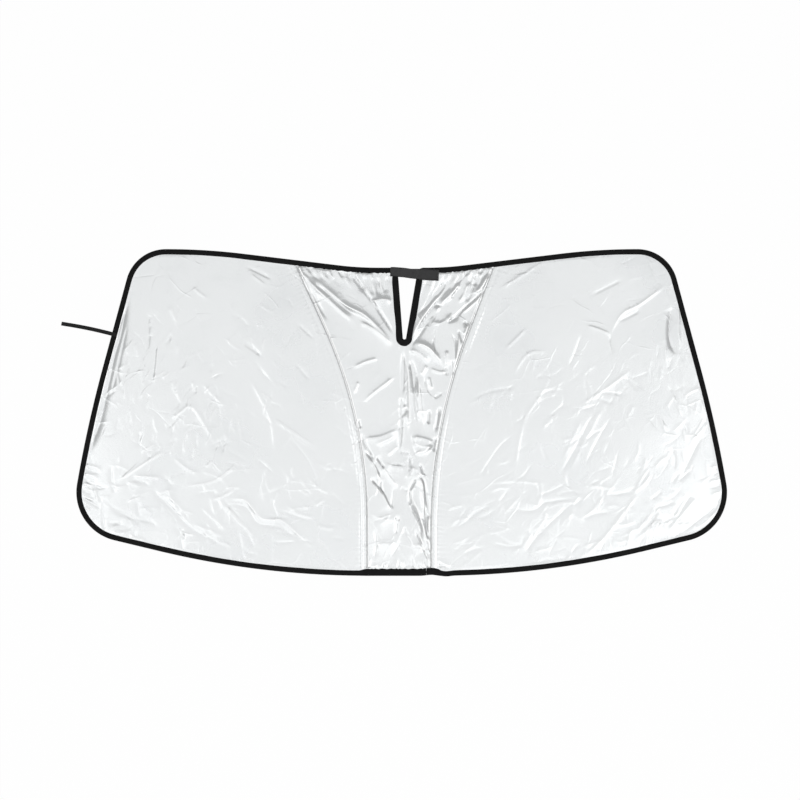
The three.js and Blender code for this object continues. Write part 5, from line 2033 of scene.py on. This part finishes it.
@dataclass(frozen=True)
class StorageLoop:
    """The elastic loop that holds the folded shade, sewn on the left side and lying on the floor."""

    level: float = 534.0
    length: float = 126.0
    width: float = 8.8
    ply: float = 0.9
    slot: float = 0.3
    root: float = 11.5
    drop: float = 16.0
    rise_deg: float = 11.8
    bow: float = -1.8
    sewn_z: float = 4.9

    def build(self, finishes: Finishes) -> Pieces:
        """Makes the doubled webbing and its bar of stitches."""
        gap = self.ply + self.slot
        s = np.linspace(0.2, self.length - gap / 2 - self.ply / 2, 150)
        under = np.column_stack([s, self.height(s) + self.ply / 2])
        turn = np.linspace(-math.pi / 2, math.pi / 2, 13)[1:-1]
        end = [s[-1], self.height(s[-1]) + self.ply / 2 + gap / 2]
        round_end = np.column_stack([end[0] + gap / 2 * np.cos(turn), end[1] + gap / 2 * np.sin(turn)])
        over = np.column_stack([s, self.height(s) + self.ply / 2 + gap])[::-1]
        view = np.concatenate([under, round_end, over])
        sizes = (self.width, self.ply, self.bow)
        band = Band("storage_loop_webbing", self.origin(), self.angle(), view, *sizes, step=0.5)
        piece = band.build()
        dress(piece, finishes.elastic)
        declare(piece, "storage_loop")
        stitches = StitchRows("loop_stitches", pitch=1.6, length=1.9, seed=12)
        sewn = stitches.build(self.rows(), finishes.black_thread)
        declare(sewn)
        return {piece.name: piece, sewn.name: sewn}

    def height(self, s: Array | float) -> Array:
        """The underside's height at a distance along the loop."""
        return self.sewn_z * (1 - smooth((s - self.root) / self.drop))

    def angle(self) -> float:
        """The loop's direction in plan."""
        return math.pi - math.radians(self.rise_deg)

    def origin(self) -> Pair:
        """The loop's sewn end in plan."""
        fold = OUTLINE.fold(4.0).points
        left = fold[fold[:, 0] < -OUTLINE.sag_outer]
        level = np.array([[-OUTLINE.dash_corner[0], self.level], [-OUTLINE.sag_outer, self.level]])
        cross = at(left, crossing(left, level, tuple(level[0])))
        way = np.array([math.cos(self.angle()), math.sin(self.angle())])
        return tuple(cross - (LAYERS.binding_width - 1) * way)

    def rows(self) -> list[Array]:
        """Three short rows of stitches across the sewn end."""
        cos, sin = math.cos(self.angle()), math.sin(self.angle())
        z = self.sewn_z + 2 * self.ply + self.slot
        lines = []
        for s in (2.0, 5.5, 9.0):
            across = np.linspace(-self.width / 2 + 1, self.width / 2 - 1, 12)
            x = self.origin()[0] + s * cos + across * sin
            y = self.origin()[1] + s * sin - across * cos
            lines.append(np.column_stack([x, y, np.full(len(x), z)]))
        return lines


# The studio


@dataclass(frozen=True)
class Lamp:
    """A soft rectangular lamp that the camera doesn't see, with its size and place in metres."""

    name: str
    size: Pair
    place: Triple
    brightness: float
    power_share: float = 2.0

    def build(self, aim: Triple) -> None:
        """Makes the lamp, turned towards a point."""
        light = bpy.data.lights.new(self.name, "AREA")
        light.shape = "RECTANGLE"
        light.size, light.size_y = self.size
        light.energy = self.brightness * self.power_share * self.size[0] * self.size[1]
        lamp = bpy.data.objects.new(self.name, light)
        lamp.location = self.place
        way = Vector(aim) - Vector(self.place)
        lamp.rotation_euler = way.to_track_quat("-Z", "Y").to_euler()
        lamp.visible_camera = False
        bpy.context.scene.collection.objects.link(lamp)


@dataclass(frozen=True)
class Studio:
    """The pale floor, the soft light and the camera straight above, in metres."""

    floor_size: float = 80.0
    floor_colour: Colour = (0.93, 0.93, 0.93)
    floor_glow: float = 0.975
    sky: float = 0.45
    lamps: tuple[Lamp, ...] = (
        Lamp("overhead", (2.8, 1.6), (0.0, 0.48, 2.2), 0.825),
        Lamp("front", (3.4, 1.8), (0.15, -1.1, 2.1), 1.2),
        Lamp("right", (1.0, 2.2), (1.9, -0.1, 2.1), 1.05),
        Lamp("left", (1.0, 2.2), (-1.93, -0.2, 2.1), 1.04),
    )
    aim: Triple = (0.0, 0.35, 0.0)
    camera_at: Triple = (-0.0038, 0.3868, 4.969)
    lens: float = 100.0

    def build(self) -> None:
        """Makes them all."""
        self.floor()
        for lamp in self.lamps:
            lamp.build(self.aim)
        self.world()
        self.camera()

    def floor(self) -> None:
        """Makes the floor, which looks white and keeps the shade's shadow."""
        half = self.floor_size / 2
        corners = np.array([[-half, -half, 0], [half, -half, 0], [half, half, 0], [-half, half, 0]]) / MM
        floor = mesh_piece("studio_floor", corners, [np.array([[0, 1, 2, 3]])])
        material = bpy.data.materials.new("pale floor")
        material.use_nodes = True
        material.node_tree.nodes.clear()
        desk = Desk(material.node_tree)
        ray = desk.add("ShaderNodeLightPath").outputs
        seen = desk.sum_of("MAXIMUM", ray["Is Camera Ray"], ray["Is Glossy Ray"])
        seen = desk.sum_of("MAXIMUM", seen, ray["Is Transmission Ray"])
        diffuse = desk.add("ShaderNodeBsdfDiffuse", {"Color": (*self.floor_colour, 1.0)}).outputs[0]
        glow = desk.add("ShaderNodeEmission", {"Color": (1.0, 1.0, 1.0, 1.0), "Strength": 1.0}).outputs[0]
        share = desk.sum_of("MULTIPLY", seen, self.floor_glow)
        both = desk.add("ShaderNodeMixShader", {0: share, 1: diffuse, 2: glow}).outputs[0]
        desk.add("ShaderNodeOutputMaterial", {"Surface": both})
        dress(floor, material)

    def world(self) -> None:
        """Makes an even surround."""
        world = bpy.data.worlds.new("surround")
        world.use_nodes = True
        world.node_tree.nodes.clear()
        desk = Desk(world.node_tree)
        even = desk.add("ShaderNodeBackground", {"Color": (1.0, 1.0, 1.0, 1.0), "Strength": self.sky})
        desk.add("ShaderNodeOutputWorld", {"Surface": even.outputs[0]})
        bpy.context.scene.world = world

    def camera(self) -> None:
        """Makes the camera, which looks straight down with the roof edge at the top."""
        data = bpy.data.cameras.new("camera")
        data.lens = self.lens
        data.sensor_width = 36.0
        data.clip_end = 50.0
        camera = bpy.data.objects.new("camera", data)
        camera.location = self.camera_at
        bpy.context.scene.collection.objects.link(camera)
        bpy.context.scene.camera = camera


def main() -> None:
    """Builds the shade's visible surfaces round the frame."""
    logging.basicConfig(level=logging.INFO, format="%(message)s")
    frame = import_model()
    bpy.context.scene.view_settings.view_transform = "Standard"
    studio = Studio()
    studio.build()
    finishes = Finishes(Groups())
    made: Pieces = {}
    made |= SilverFace().build(finishes)
    made |= Border().build(finishes, frame["nodes"])
    made |= MirrorStrap().build(finishes)
    made |= StorageLoop().build(finishes)
    for name, piece in made.items():
        log.info("%s: %d faces", name, len(piece.data.polygons))


if __name__ == "__main__":
    main()
